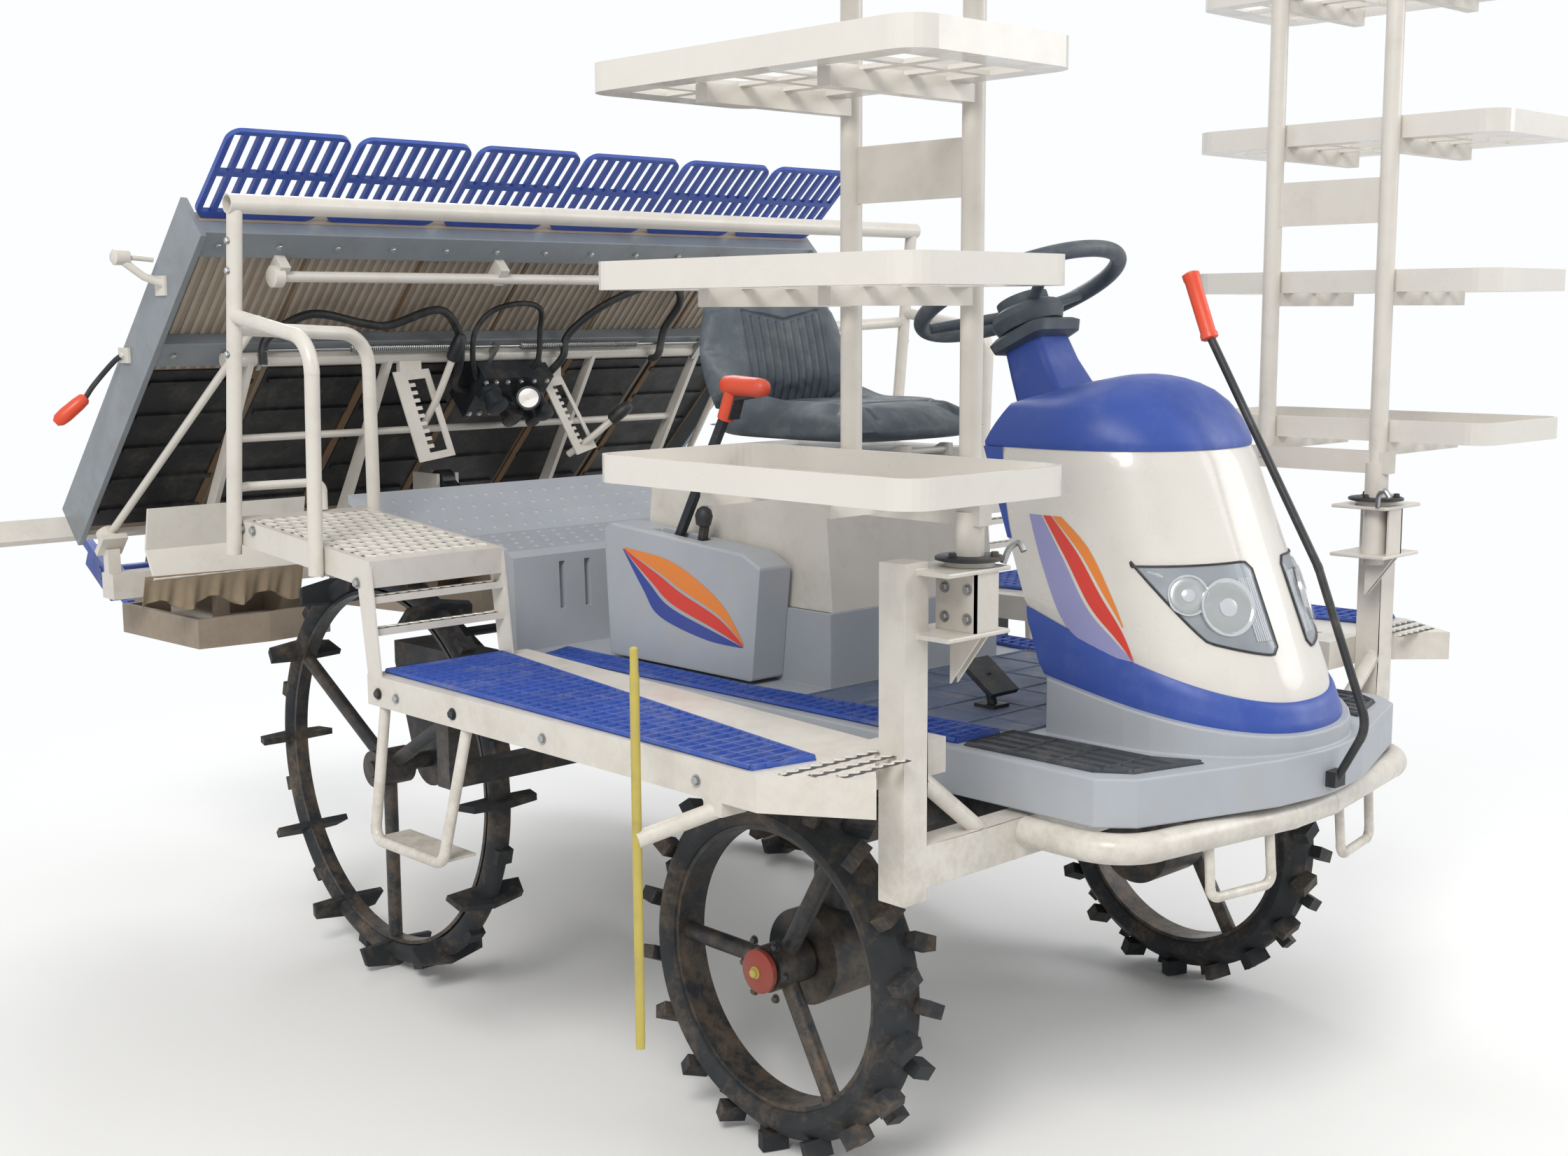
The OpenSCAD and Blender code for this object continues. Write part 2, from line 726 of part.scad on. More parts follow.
module headlights() {
  painted(clear_lamp) both() intersection() {
    difference() {
      hood_slice(850, 1030, 6, 6);
      hood_slice(848, 1032, 6, seat_gap);
    }
    across(40, 400) polygon([[470, 1020], [640, 1012], [690, 866], [630, 866], [552, 919]]);
  }
}

module bumper() {
  end_x = post_x + post_w / 2;
  painted(white_paint) {
    bent_tube([[end_x, -440, bumper_z], [578, -440, bumper_z], [640, -60, bumper_z], [640, 60, bumper_z],
               [578, 440, bumper_z], [end_x, 440, bumper_z]], bumper_r, 90);
    both() {
      bent_tube([[632, 110, bumper_z - 10], [640, 110, bumper_z - 105], [616, 250, bumper_z - 105],
                 [610, 250, bumper_z - 10]], 8, 18);
      block(rail_front_x, 622, rail_y - 12, rail_y + 12, bumper_z - 15, bumper_z + 15);
    }
  }
}

// Mats, steps, platforms and rails

module floor_mats() {
  painted(blue_plastic) both() {
    upward(floor_z, floor_z + mat_t)
      polygon([[225, 300], [225, 410], [-900, 425], [-930, 345], [-360, 345]]);
    upward(floor_z, floor_z + mat_t)
      polygon([[240, 285], [240, 412], [500, 408], [552, 372], [590, 240], [520, 275]]);
  }
}

function step_edge(x) = step_inner + step_draw * (x - step_rear_x) / (step_front_x - step_rear_x);

module step_outline() {
  polygon([[step_rear_x, step_half_w], [step_bend_x, step_half_w], [step_bend_x + 145, step_half_w - 95],
           [step_front_x, step_half_w - 210], [step_front_x, step_tongue_y], [step_tongue_x, step_tongue_y],
           [step_tongue_x, step_edge(step_tongue_x)], [step_rear_x, step_inner]]);
}

module side_steps() {
  painted(white_paint) both() {
    difference() {
      upward(step_low, step_top) step_outline();
      upward(step_low - 1, step_top - sheet_t) polygon([
        [step_rear_x + sheet_t, step_half_w - sheet_t], [step_bend_x - 2, step_half_w - sheet_t],
        [step_bend_x + 137, step_half_w - 96], [step_front_x - sheet_t, step_half_w - 209],
        [step_front_x - sheet_t, step_tongue_y + sheet_t], [step_tongue_x + sheet_t, step_tongue_y + sheet_t],
        [step_tongue_x + sheet_t, step_edge(step_tongue_x) + sheet_t], [step_rear_x + sheet_t, step_inner + sheet_t]]);
    }
    // Hanging stirrup
    bent_tube([[step_rear_x + 37, step_half_w - 14, step_low + 4], [step_rear_x + 27, step_half_w + 12, 470],
               [step_rear_x + 250, step_half_w + 12, 470], [step_rear_x + 300, step_half_w - 14, step_low + 4]], 10, 26);
    block(step_rear_x + 30, step_rear_x + 246, step_half_w - 60, step_half_w + 14, 470, 470 + sheet_t);
  }
}

module step_mats() {
  painted(blue_plastic) both() upward(step_top, step_z)
    polygon([[step_rear_x + 12, step_half_w - 30], [step_bend_x - 20, step_half_w - 10],
             [step_bend_x, step_half_w - 120], [step_rear_x + 12, step_mat_inner]]);
}

module platform_frame() {
  translate([platform_front_x, 0, platform_z]) rotate([0, platform_slope, 0]) children();
}

module platforms() {
  leg = 46;
  painted(white_paint) both() {
    difference() {
      platform_frame() block(-platform_l, 0, platform_inner, step_half_w, -50, 0);
      platform_frame() block(-platform_l + sheet_t, -sheet_t, platform_inner + sheet_t, step_half_w - sheet_t, -51, -sheet_t);
    }
    for (y = [platform_inner, step_half_w - sheet_t]) {
      across(y + 0.5, y + sheet_t - 0.5)
        polygon([[platform_front_x - 1, platform_z - 6], [platform_front_x - leg, platform_z - 34],
                 [step_rear_x + 2, step_top], [step_rear_x + leg, step_top]]);
    }
    for (z = [platform_z - 66, platform_z - 126]) {
      block(platform_front_x - 32, platform_front_x, platform_inner + 1, step_half_w - 1, z - 12, z);
    }
    for (x = [-1110, -1170]) block(x, x + 30, deck_half_w, platform_inner + sheet_t / 2, 920, platform_z + 4);
  }
}

module handrails() {
  foot_z = platform_z + platform_rise - 70;
  rail_y0 = step_half_w + handrail_r + seat_gap;
  inner_y = platform_inner - handrail_r - seat_gap;
  // The posts run from the platforms' edge to just inside the rail's ends
  rail_lap = 15.7;
  lean = (rear_rail_half - rail_lap - rail_y0) / (rear_rail_z - foot_z);
  meet_y = rail_y0 + lean * (1420 - foot_z);
  toe_z = 1086;
  toe_y = rail_y0 + lean * (toe_z - foot_z);
  painted(white_paint) {
    difference() {
      union() {
        pin_y(rear_rail_x, rear_rail_z, -rear_rail_half, rear_rail_half, rear_rail_r);
        both() rod([platform_rear_x + 30, rail_y0, foot_z], [rear_rail_x, rear_rail_half - rail_lap, rear_rail_z - 2],
                   handrail_r);
      }
      pin_y(rear_rail_x, rear_rail_z, -rear_rail_half - 1, rear_rail_half + 1, rear_rail_bore_r);
    }
    both() {
      bent_tube([[-880, rail_y0, platform_z - 40], [-862, rail_y0, 1380], [-1158, meet_y, 1425]], handrail_r - 1, 70);
      bent_tube([[platform_rear_x + 22, inner_y, foot_z + 10], [platform_rear_x + 22, inner_y, 1385],
                 [-1158, meet_y, 1400]], handrail_r - 1, 70);
      // Toe rail across the platform's rear edge
      bent_tube([[-1190, toe_y, toe_z], [platform_rear_x + 16, rail_y0 - 40, toe_z],
                 [platform_rear_x + 16, platform_inner + 100, toe_z - 2],
                 [platform_rear_x + 16, platform_inner + 100, platform_z + platform_rise + 2]], 9, 22);
    }
  }
}

module rack_posts() {
  painted(white_paint) both() {
    translate([post_x - post_w / 2, post_y - post_w / 2, post_low_z]) cube([post_w, post_w, post_top_z - post_low_z]);
    block(post_x - post_w / 2, post_x + post_w / 2, rail_y + rail_w / 2, post_y, post_low_z + 20, post_low_z + 85);
    rod([post_x + 10, post_y - 10, post_low_z + 200], [post_x + 10, post_y - 190, post_low_z + 60], 14);
    difference() {
      for (z = [bracket_low_z, bracket_top_z]) {
        block(post_x - post_w / 2, rack_x + rack_pivot_r + 22, rack_y - rack_pivot_r - 22, post_y, z, z + bracket_t);
      }
      translate([rack_x, rack_y, bracket_low_z - 1])
        cylinder(r = rack_pivot_r + running_gap, h = bracket_top_z - bracket_low_z + bracket_t + 2, $fn = 48);
    }
  }
}

module centre_marker() {
  painted(black_iron) {
    block(floor_nose_x, floor_nose_x + 18, -16, 16, floor_z - 62, floor_z - 36);
    bent_tube([[floor_nose_x + 9, 0, floor_z - 55], [738, 0, 760], [640, 0, 1010], [400, 0, 1420]], 7, 60);
    rod([418, 0, 1389], [380, 0, 1487], 12);
  }
}

module side_markers() {
  painted(white_paint) both() {
    rod([215, step_half_w - 20, step_low - 14], [160, step_half_w + 98, step_low - 50], 13);
    rod([160, step_half_w + 98, 350], [160, step_half_w + 98, 950], 6);
    block(195, 235, step_half_w - 50, step_half_w, step_low - 22, step_low);
  }
}

// Seat and steering wheel

module seat_cushion() {
  painted(slate_vinyl) {
    intersection() {
      across(-seat_half_w, seat_half_w)
        polygon(concat(arc(-222, seat_low_z + 38, 38, -90, 80, 5), [[-420, seat_low_z + 78], [-600, seat_low_z + 60]],
                       arc(-640, seat_low_z + 30, 30, 90, 270, 5)));
      upward(seat_low_z - 5, seat_low_z + 120) polygon(round_box(-672, -seat_half_w, -183, seat_half_w, 110));
    }
    difference() {
      across(-50, 50)
        polygon([[-250, seat_low_z + 1], [-230, seat_low_z - 30], [-202, seat_low_z - 30], [-190, seat_low_z + 1]]);
      pin_y(-216, seat_low_z - 18, -51, 51, 6 + running_gap);
    }
  }
}

module seat_back() {
  painted(slate_vinyl) across(-seat_half_w + 8, seat_half_w - 8)
    polygon(concat([[-560, seat_low_z + 64 + seat_gap]], arc(-668, seat_low_z + 262, 32, 20, 190, 6),
                   [[-690, seat_low_z + 90], [-676, seat_low_z + 60 + seat_gap], [-600, seat_low_z + 60 + seat_gap]]));
}

module at_steering() {
  translate([steer_x, 0, steer_z]) rotate([0, -steer_lean, 0]) children();
}

module steering_wheel() {
  painted(slate_vinyl) at_steering() {
    rotate_extrude($fn = 72) translate([steer_r, 0]) circle(r = steer_rim_r, $fn = 20);
    translate([0, 0, -boss_depth]) cylinder(r = 48, h = boss_depth - 12, $fn = 48);
    translate([0, 0, -boss_depth - 74]) cylinder(r = steer_shaft_r, h = 90, $fn = 48);
    for (a = [90, 210, 330]) {
      rotate([0, 0, a]) rod([20, 0, -36], [steer_r, 0, 0], 10);
    }
  }
}

// Lift links and planter

module link_bar(y0, y1) {
  difference() {
    union() {
      across(y0, y1)
        polygon([[link_x + 16 * sin(link_rest), link_z(0) + 16 * cos(link_rest)],
                 [link_end_x + 16 * sin(link_rest), link_z(1) + 16 * cos(link_rest)],
                 [link_end_x - 16 * sin(link_rest), link_z(1) - 16 * cos(link_rest)],
                 [link_x - 16 * sin(link_rest), link_z(0) - 16 * cos(link_rest)]]);
      for (e = [0, 1]) pin_y(link_x - e * link_l * cos(link_rest), link_z(e), y0, y1, link_eye_r);
    }
    for (e = [0, 1]) {
      pin_y(link_x - e * link_l * cos(link_rest), link_z(e), y0 - 1, y1 + 1, link_pin_r + running_gap);
    }
  }
}
function link_z(e) = link_low_z + e * link_end_rise;

module lift_links_lower() {
  painted(black_iron) {
    both() link_bar(link_y - link_t / 2, link_y + link_t / 2);
    pin_y(link_x - 0.45 * link_l * cos(link_rest), link_z(0.45), -link_y, link_y, 12);
  }
}

module lift_link_upper() {
  painted(black_iron) translate([0, 0, link_rise]) link_bar(-20, 20);
}

module planter_frame() {
  bar_r = 16;
  bar = table_point(table_rail_x, -table_t - table_rail_h - seat_gap - bar_r);
  // Where the thin lower bar crosses the plates
  low_bar = bar + ([beam_x, beam_z] - bar) * 0.35;
  guide_t = 18;
  // Short enough to pass between the shifted table's side rails
  bar_half = table_half_w - 14 - table_shift - 8;
  beam_half = marker_y + 14;
  inner = link_y - link_t / 2 - 2 - lug_t;
  painted(white_paint) {
    block(beam_x - beam_w / 2, beam_x + beam_w / 2, -beam_half, beam_half, beam_z - beam_w / 2, beam_z + beam_w / 2);
    pin_y(link_end_x, mast_low_z, -link_y - link_t / 2 - 8, link_y + link_t / 2 + 8, link_pin_r);
    pin_y(link_end_x, mast_top_z, -24 - lug_t, 24 + lug_t, link_pin_r);
    both() {
      across(inner, inner + lug_t)
        polygon([[link_end_x + 24, mast_low_z - 24], [link_end_x + 24, mast_low_z + 24], [beam_x + 20, beam_z + 90],
                 [beam_x - 20, beam_z + 90], [beam_x - 20, beam_z - 24]]);
      across(24, 24 + lug_t)
        polygon([[link_end_x + 22, mast_top_z - 22], [link_end_x + 22, mast_top_z + 22], [beam_x - 10, mast_top_z + 22],
                 [beam_x - 20, beam_z + 20], [beam_x + 20, beam_z + 20], [beam_x + 20, mast_top_z - 30]]);
      for (y = [300, bar_half - 70]) {
        across(y, y + 12)
          polygon([[beam_x + 24, beam_z], [beam_x - 24, beam_z], bar + [-12, -8], bar + [16, -8]]);
      }
      // Carriers of the guide rail
      across(330, 342)
        polygon([[beam_x - 20, beam_z - 24], [beam_x - 20, beam_z + 24], table_point(-table_l - 4, -34),
                 table_point(-table_l - 15, -34)]);
      // Hinge posts of the line markers
      block(marker_hinge_x, marker_hinge_x + 25, marker_y - 16, marker_y + 14, beam_z + 20, marker_hinge_z - 27);
      at_marker() {
        translate([0, 0, -24]) cylinder(r = marker_pin_r, h = 42, $fn = 32);
        block(-30, 30, -30, 30, -30, -15 - seat_gap);
      }
    }
    pin_y(bar[0], bar[1], -bar_half, bar_half, bar_r);
    pin_y(low_bar[0], low_bar[1], -bar_half + 62, bar_half - 62, 9);
    // Rail that guides the table's lower edge
    on_table() block(-table_l - seat_gap - guide_t, -table_l - seat_gap, -guide_half, guide_half, -40, 22);
  }
}

module planting_cases() {
  // Feed gear case hung on the upper bar, under the table
  feed_top = -table_t - table_rail_h - 6;
  painted(black_iron) on_table() difference() {
    block(table_rail_x - 150, table_rail_x - 8, -60, 150, feed_top - 84, feed_top);
    translate([table_rail_x, 0, -table_t - table_rail_h - seat_gap - 16]) rotate([90, 0, 0])
      cylinder(r = 16 + seat_gap, h = 600, center = true, $fn = 48);
  }
  painted(black_iron) for (y = [-case_y, 0, case_y]) {
    difference() {
      across(y - 34, y + 34)
        polygon(concat([[beam_x - beam_w / 2, beam_z + 28], [beam_x - beam_w / 2, beam_z - 28]],
                       arc(rotor_x, rotor_z, 44, 250, 110, 10)));
      pin_y(rotor_x, rotor_z, y - 35, y + 35, rotor_shaft_r + running_gap);
    }
  }
}

module floats() {
  front_x = -1750;
  shoulder_x = rotor_x + claw_r + 22;
  tail_x = -2400;
  painted(tan_board) for (y = [-case_y, 0, case_y]) {
    // The middle float narrows between the lift links
    w = y == 0 ? link_y - link_t / 2 - 24 : 170;
    difference() {
      translate([0, y, 0]) upward(float_z, float_z + float_h)
        polygon(mirrored([[front_x, 0], [front_x - 20, w], [shoulder_x, 190], [shoulder_x - 4, 84], [tail_x, 70], [tail_x, 0]]));
      translate([0, y, 0]) upward(float_z + 18, float_z + float_h + 1)
        polygon(mirrored([[front_x - 14, 0], [front_x - 34, w - 14], [shoulder_x + 12, 176], [shoulder_x + 8, 70],
                          [tail_x + 12, 56], [tail_x + 12, 0]]));
    }
    block(beam_x - 14, beam_x + 14, y - 16, y + 16, float_z + 17, beam_z - beam_w / 2);
  }
}

module mud_guards() {
  painted(white_paint) both() {
    across(500, 890)
      polygon([[-1738, 1000], [-1744, 1000], [-1766, 905], [-1730, 838], [-1724, 842], [-1760, 905]]);
    block(-1960, -1764, 690, 716, 880, 906);
    block(beam_x + beam_w / 2, -1940, 690, 716, beam_z - 10, 906);
  }
}

module planting_rotors() {
  painted(blue_plastic) for (c = [-case_y, 0, case_y]) {
    pin_y(rotor_x, rotor_z, c - row_pitch / 2 - 24, c + row_pitch / 2 + 24, rotor_shaft_r);
    for (s = [-1, 1]) {
      translate([rotor_x, c + s * row_pitch / 2, rotor_z]) rotate([0, 30, 0]) {
        block(-80, 80, -22, 22, -30, 30);
        for (e = [0, 180]) rotate([0, e, 0]) block(70, claw_r - 3, -9, 9, -12, 12);
      }
    }
  }
}

// Seedling table, in its own sloping frame: X up the slope, Y across, Z out of the upper face

module on_table() {
  translate([table_top_x, 0, table_top_z]) rotate([0, -table_slope, 0]) children();
}

module seedling_table() {
  painted(tan_board) on_table() {
    block(-table_l, 0, -table_half_w + 14, table_half_w - 14, -table_t, 0);
    for (i = [-2:2]) block(-table_l, -20, i * row_pitch - 5, i * row_pitch + 5, 0, 40);
  }
}

function table_point(x, z) = [
  table_top_x + x * cos(table_slope) - z * sin(table_slope), table_top_z + x * sin(table_slope) + z * cos(table_slope)
];

module table_frame() {
  painted(grey_plastic) on_table() {
    both() block(-table_l, 0, table_half_w - 14, table_half_w, -table_t - 44, 46);
    for (x = [-35, table_rail_x]) {
      block(x - 35, x + 35, -table_half_w + 14, table_half_w - 14, -table_t - table_rail_h, -table_t);
    }
  }
}

module table_racks() {
  bars = 8;
  frame_w = 12;
  gap = (fence_w - frame_w) / bars;
  edge_inset = 2;
  pitch = (table_half_w - edge_inset - fence_w / 2) / 2.5;
  painted(blue_plastic) on_table() for (i = [0:5]) {
    translate([seat_gap, (i - 2.5) * pitch, -18]) rotate([0, 3, 0]) linear_extrude(11) difference() {
      polygon(round_box(0, -fence_w / 2, fence_l, fence_w / 2, 30));
      for (b = [0:bars - 1], half = [0, 1]) {
        translate([20 + half * (fence_l / 2 - 8), -fence_w / 2 + frame_w + b * gap])
          square([fence_l / 2 - 22, gap - frame_w]);
      }
    }
  }
}

marker_hinge_x = -2010;
marker_hinge_z = 912;
marker_y = table_half_w - 26;
marker_l = 720;
marker_pin_r = 10;

module at_marker() {
  translate([marker_hinge_x, marker_y, marker_hinge_z]) rotate([0, -table_slope, 0]) children();
}

module line_marker(side) {
  painted(white_paint) mirror([0, side, 0]) at_marker() {
    difference() {
      cylinder(r = 24, h = 30, center = true, $fn = 32);
      cylinder(r = marker_pin_r + running_gap, h = 32, center = true, $fn = 32);
    }
    rod([20, -4, 0], [marker_l, -marker_l * 0.2, 0], 9);
  }
}

module line_marker_right() {
  line_marker(1);
}

module line_marker_left() {
  line_marker(0);
}

// Spare seedling racks, swivelling about their front upright

module rack_frame(side) {
  painted(white_paint) mirror([0, side, 0]) translate([rack_x, rack_y, 0]) {
    translate([0, 0, bracket_low_z - 14]) cylinder(r = rack_pivot_r, h = base_bar_z - bracket_low_z + 14, $fn = 48);
    translate([0, 0, bracket_top_z + bracket_t + seat_gap]) cylinder(r = rack_pivot_r + 16, h = 8, $fn = 48);
    for (x = [0, -rack_upright_gap]) {
      translate([x, 0, base_bar_z]) cylinder(r = rack_upright_r, h = rack_top_z + 110 - base_bar_z, $fn = 32);
    }
    block(-rack_upright_gap - 30, 30, -14, 14, base_bar_z - 20, base_bar_z + 22);
    block(-rack_upright_gap, 0, -3, 3, tray_z + tray_pitch + 130, tray_z + tray_pitch + 215);
    for (i = [0:tray_count - 1], x = [0, -rack_upright_gap]) {
      block(x - 12, x + 12, 0, tray_w - 30, tray_z + i * tray_pitch - 26, tray_z + i * tray_pitch);
    }
  }
}

module tray() {
  rim_t = 5;
  difference() {
    linear_extrude(tray_h) polygon(round_box(-tray_l / 2, -tray_w / 2, tray_l / 2, tray_w / 2, 45));
    translate([0, 0, 6]) linear_extrude(tray_h)
      polygon(round_box(-tray_l / 2 + rim_t, -tray_w / 2 + rim_t, tray_l / 2 - rim_t, tray_w / 2 - rim_t, 42));
    for (x = [-3:3], y = [-1, 0, 1]) {
      translate([x * 80 - 32, y * 88 - 34, -1]) cube([64, 68, 10]);
    }
  }
}

module rack_trays(side) {
  out = 1 - 2 * side;
  mid_x = rack_x - rack_upright_gap / 2;
  mid_y = out * (rack_y + rack_upright_r + 4 + tray_w / 2);
  painted(white_paint) for (i = [0:tray_count - 1]) {
    translate([mid_x, mid_y, tray_z + i * tray_pitch]) tray();
  }
}

module rack_frame_right() {
  rack_frame(1);
}

module rack_frame_left() {
  rack_frame(0);
}

module rack_trays_right() {
  rack_trays(1);
}

module rack_trays_left() {
  rack_trays(0);
}

main_frame();
transmission();
engine_block();
front_axle();
rear_axle();
floor_cover();
rear_deck();
seat_box();
lever_box();
control_levers();
pedals();
hood_body();
hood_top();
hood_skirt();
headlights();
bumper();
floor_mats();
side_steps();
step_mats();
platforms();
handrails();
rack_posts();
centre_marker();
side_markers();
seat_cushion();
seat_back();
steering_wheel();
knuckle_right();
knuckle_left();
rim_front_right();
rim_front_left();
tyre_front_right();
tyre_front_left();
rim_rear_right();
rim_rear_left();
tyre_rear_right();
tyre_rear_left();
lift_links_lower();
lift_link_upper();
planter_frame();
planting_cases();
floats();
mud_guards();
planting_rotors();
seedling_table();
table_frame();
table_racks();
line_marker_right();
line_marker_left();
rack_frame_right();
rack_frame_left();
rack_trays_right();
rack_trays_left();
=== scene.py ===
import math
import bpy
import bmesh
from mathutils import Matrix, Vector


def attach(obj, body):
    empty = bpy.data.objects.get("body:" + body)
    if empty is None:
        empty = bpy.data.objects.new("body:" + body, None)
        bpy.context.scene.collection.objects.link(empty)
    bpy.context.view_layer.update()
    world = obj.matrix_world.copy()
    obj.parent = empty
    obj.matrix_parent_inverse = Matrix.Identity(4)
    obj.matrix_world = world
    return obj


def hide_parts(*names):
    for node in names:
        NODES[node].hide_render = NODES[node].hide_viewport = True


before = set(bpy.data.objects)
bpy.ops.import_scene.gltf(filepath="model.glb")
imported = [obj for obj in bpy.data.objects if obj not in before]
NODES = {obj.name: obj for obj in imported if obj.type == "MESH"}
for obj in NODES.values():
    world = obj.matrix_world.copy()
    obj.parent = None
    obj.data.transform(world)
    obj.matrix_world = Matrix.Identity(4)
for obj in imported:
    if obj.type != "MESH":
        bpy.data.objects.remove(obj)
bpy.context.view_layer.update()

MM = 0.001
AXLE_X = 0.838          # the front axle ahead of the origin, in metres
SIDES = ((-1, "right"), (1, "left"))

# The fitted camera: azimuth, elevation and roll in degrees, its place in millimetres from the front axle, its lens
CAMERA_ANGLES = (46.27, 8.22, -0.29)
CAMERA_PLACE = (2165.14, -2663.18, 1421.90)
FOCAL_PX, PHOTO_PX = 2608.43, 2241
SENSOR_MM = 36.0

# The floor's half width, its height and where it starts to fade and is gone, all in metres
FLOOR_HALF, FLOOR_Z = 9.0, -0.002
FADE_START, FADE_END = 1.5, 3.6
# The world's strength as light, and as seen by the camera, in mirrors and through glass
WORLD_LIGHT, WORLD_SEEN = 0.62, 1.0


def at(x, y, z):
    """A point given in millimetres from the front axle, in the row frame in metres."""
    return Vector((x * MM + AXLE_X, y * MM, z * MM))


# Camera, floor and light

def aim_camera():
    az, el, roll = (math.radians(v) for v in CAMERA_ANGLES)
    back = Vector((math.sin(az) * math.cos(el), -math.cos(az) * math.cos(el), math.sin(el)))
    right = Vector((math.cos(az), math.sin(az), 0.0))
    up = back.cross(right)
    turned_right = math.cos(roll) * right + math.sin(roll) * up
    turned_up = -math.sin(roll) * right + math.cos(roll) * up
    data = bpy.data.cameras.new("camera")
    data.sensor_width = SENSOR_MM
    data.lens = FOCAL_PX / PHOTO_PX * SENSOR_MM
    data.clip_end = 100.0
    camera = bpy.data.objects.new("camera", data)
    bpy.context.scene.collection.objects.link(camera)
    m = Matrix((turned_right, turned_up, back)).transposed().to_4x4()
    m.translation = at(*CAMERA_PLACE)
    camera.matrix_world = m
    bpy.context.scene.camera = camera


def tree_of(name):
    m = bpy.data.materials.new(name)
    m.use_nodes = True
    nt = m.node_tree
    return m, nt, nt.nodes["Principled BSDF"]


def set_inputs(node, values):
    for key, value in values.items():
        node.inputs[key].default_value = value


def add_node(tree, kind, out, values, links, **settings):
    """A new shader node with its settings, input values and links; gives one of its outputs."""
    n = tree.nodes.new("ShaderNode" + kind)
    for key, value in settings.items():
        setattr(n, key, value)
    set_inputs(n, values)
    for key, socket in links.items():
        tree.links.new(socket, n.inputs[key])
    return n.outputs[out]


def backdrop():
    """A pale floor that keeps the shadow and fades, with distance, into a white world."""
    mesh = bpy.data.meshes.new("floor")
    corners = [(x * FLOOR_HALF, y * FLOOR_HALF, FLOOR_Z) for x, y in ((-1, -1), (1, -1), (1, 1), (-1, 1))]
    mesh.from_pydata(corners, [], [(0, 1, 2, 3)])
    floor = bpy.data.objects.new("floor", mesh)
    bpy.context.scene.collection.objects.link(floor)
    m, nt, bsdf = tree_of("floor")
    set_inputs(bsdf, {"Base Color": (0.90, 0.90, 0.89, 1), "Roughness": 0.85})
    coord = add_node(nt, "TexCoord", "Object", {}, {})
    far = add_node(nt, "VectorMath", "Value", {}, {0: coord}, operation="LENGTH")
    limits = {"From Min": FADE_START, "From Max": FADE_END, "To Min": 1.0, "To Max": 0.0}
    fade = add_node(nt, "MapRange", "Result", limits, {"Value": far}, interpolation_type="SMOOTHSTEP")
    nt.links.new(fade, bsdf.inputs["Alpha"])
    floor.data.materials.append(m)


def white_world():
    world = bpy.data.worlds.new("studio")
    world.use_nodes = True
    wt = world.node_tree
    bg = wt.nodes["Background"]
    ray = wt.nodes.new("ShaderNodeLightPath").outputs
    bounced = {0: ray["Is Glossy Ray"], 1: ray["Is Transmission Ray"]}
    seen = {0: ray["Is Camera Ray"], 1: add_node(wt, "Math", 0, {}, bounced, operation="MAXIMUM")}
    strength = add_node(wt, "MapRange", "Result", {"To Min": WORLD_LIGHT, "To Max": WORLD_SEEN},
                        {"Value": add_node(wt, "Math", 0, {}, seen, operation="MAXIMUM")})
    wt.links.new(strength, bg.inputs["Strength"])
    bg.inputs["Color"].default_value = (0.98, 0.99, 1.0, 1)
    bpy.context.scene.world = world


def lamp(name, place, target, size, watts, tint=(1, 1, 1)):
    data = bpy.data.lights.new(name, "AREA")
    data.shape = "DISK"
    data.size = size
    data.energy = watts
    data.color = tint
    o = bpy.data.objects.new(name, data)
    bpy.context.scene.collection.objects.link(o)
    o.location = place
    o.rotation_euler = (Vector(target) - Vector(place)).to_track_quat("-Z", "Y").to_euler()


aim_camera()
backdrop()
white_world()
lamp("key", (3.5, -5.0, 5.5), (0.1, 0, 0.8), 3.0, 330, (1.0, 0.98, 0.95))
lamp("fill", (4.5, 4.0, 3.5), (0.2, 0, 0.8), 3.5, 120)
lamp("back", (-5.0, 2.5, 5.0), (0, 0, 0.9), 3.0, 170, (0.96, 0.98, 1.0))
bpy.context.scene.view_settings.view_transform = "Standard"


# Materials

def srgb(r, g, b):
    def lin(c):
        c /= 255.0
        return c / 12.92 if c <= 0.04045 else ((c + 0.055) / 1.055) ** 2.4
    return (lin(r), lin(g), lin(b), 1.0)


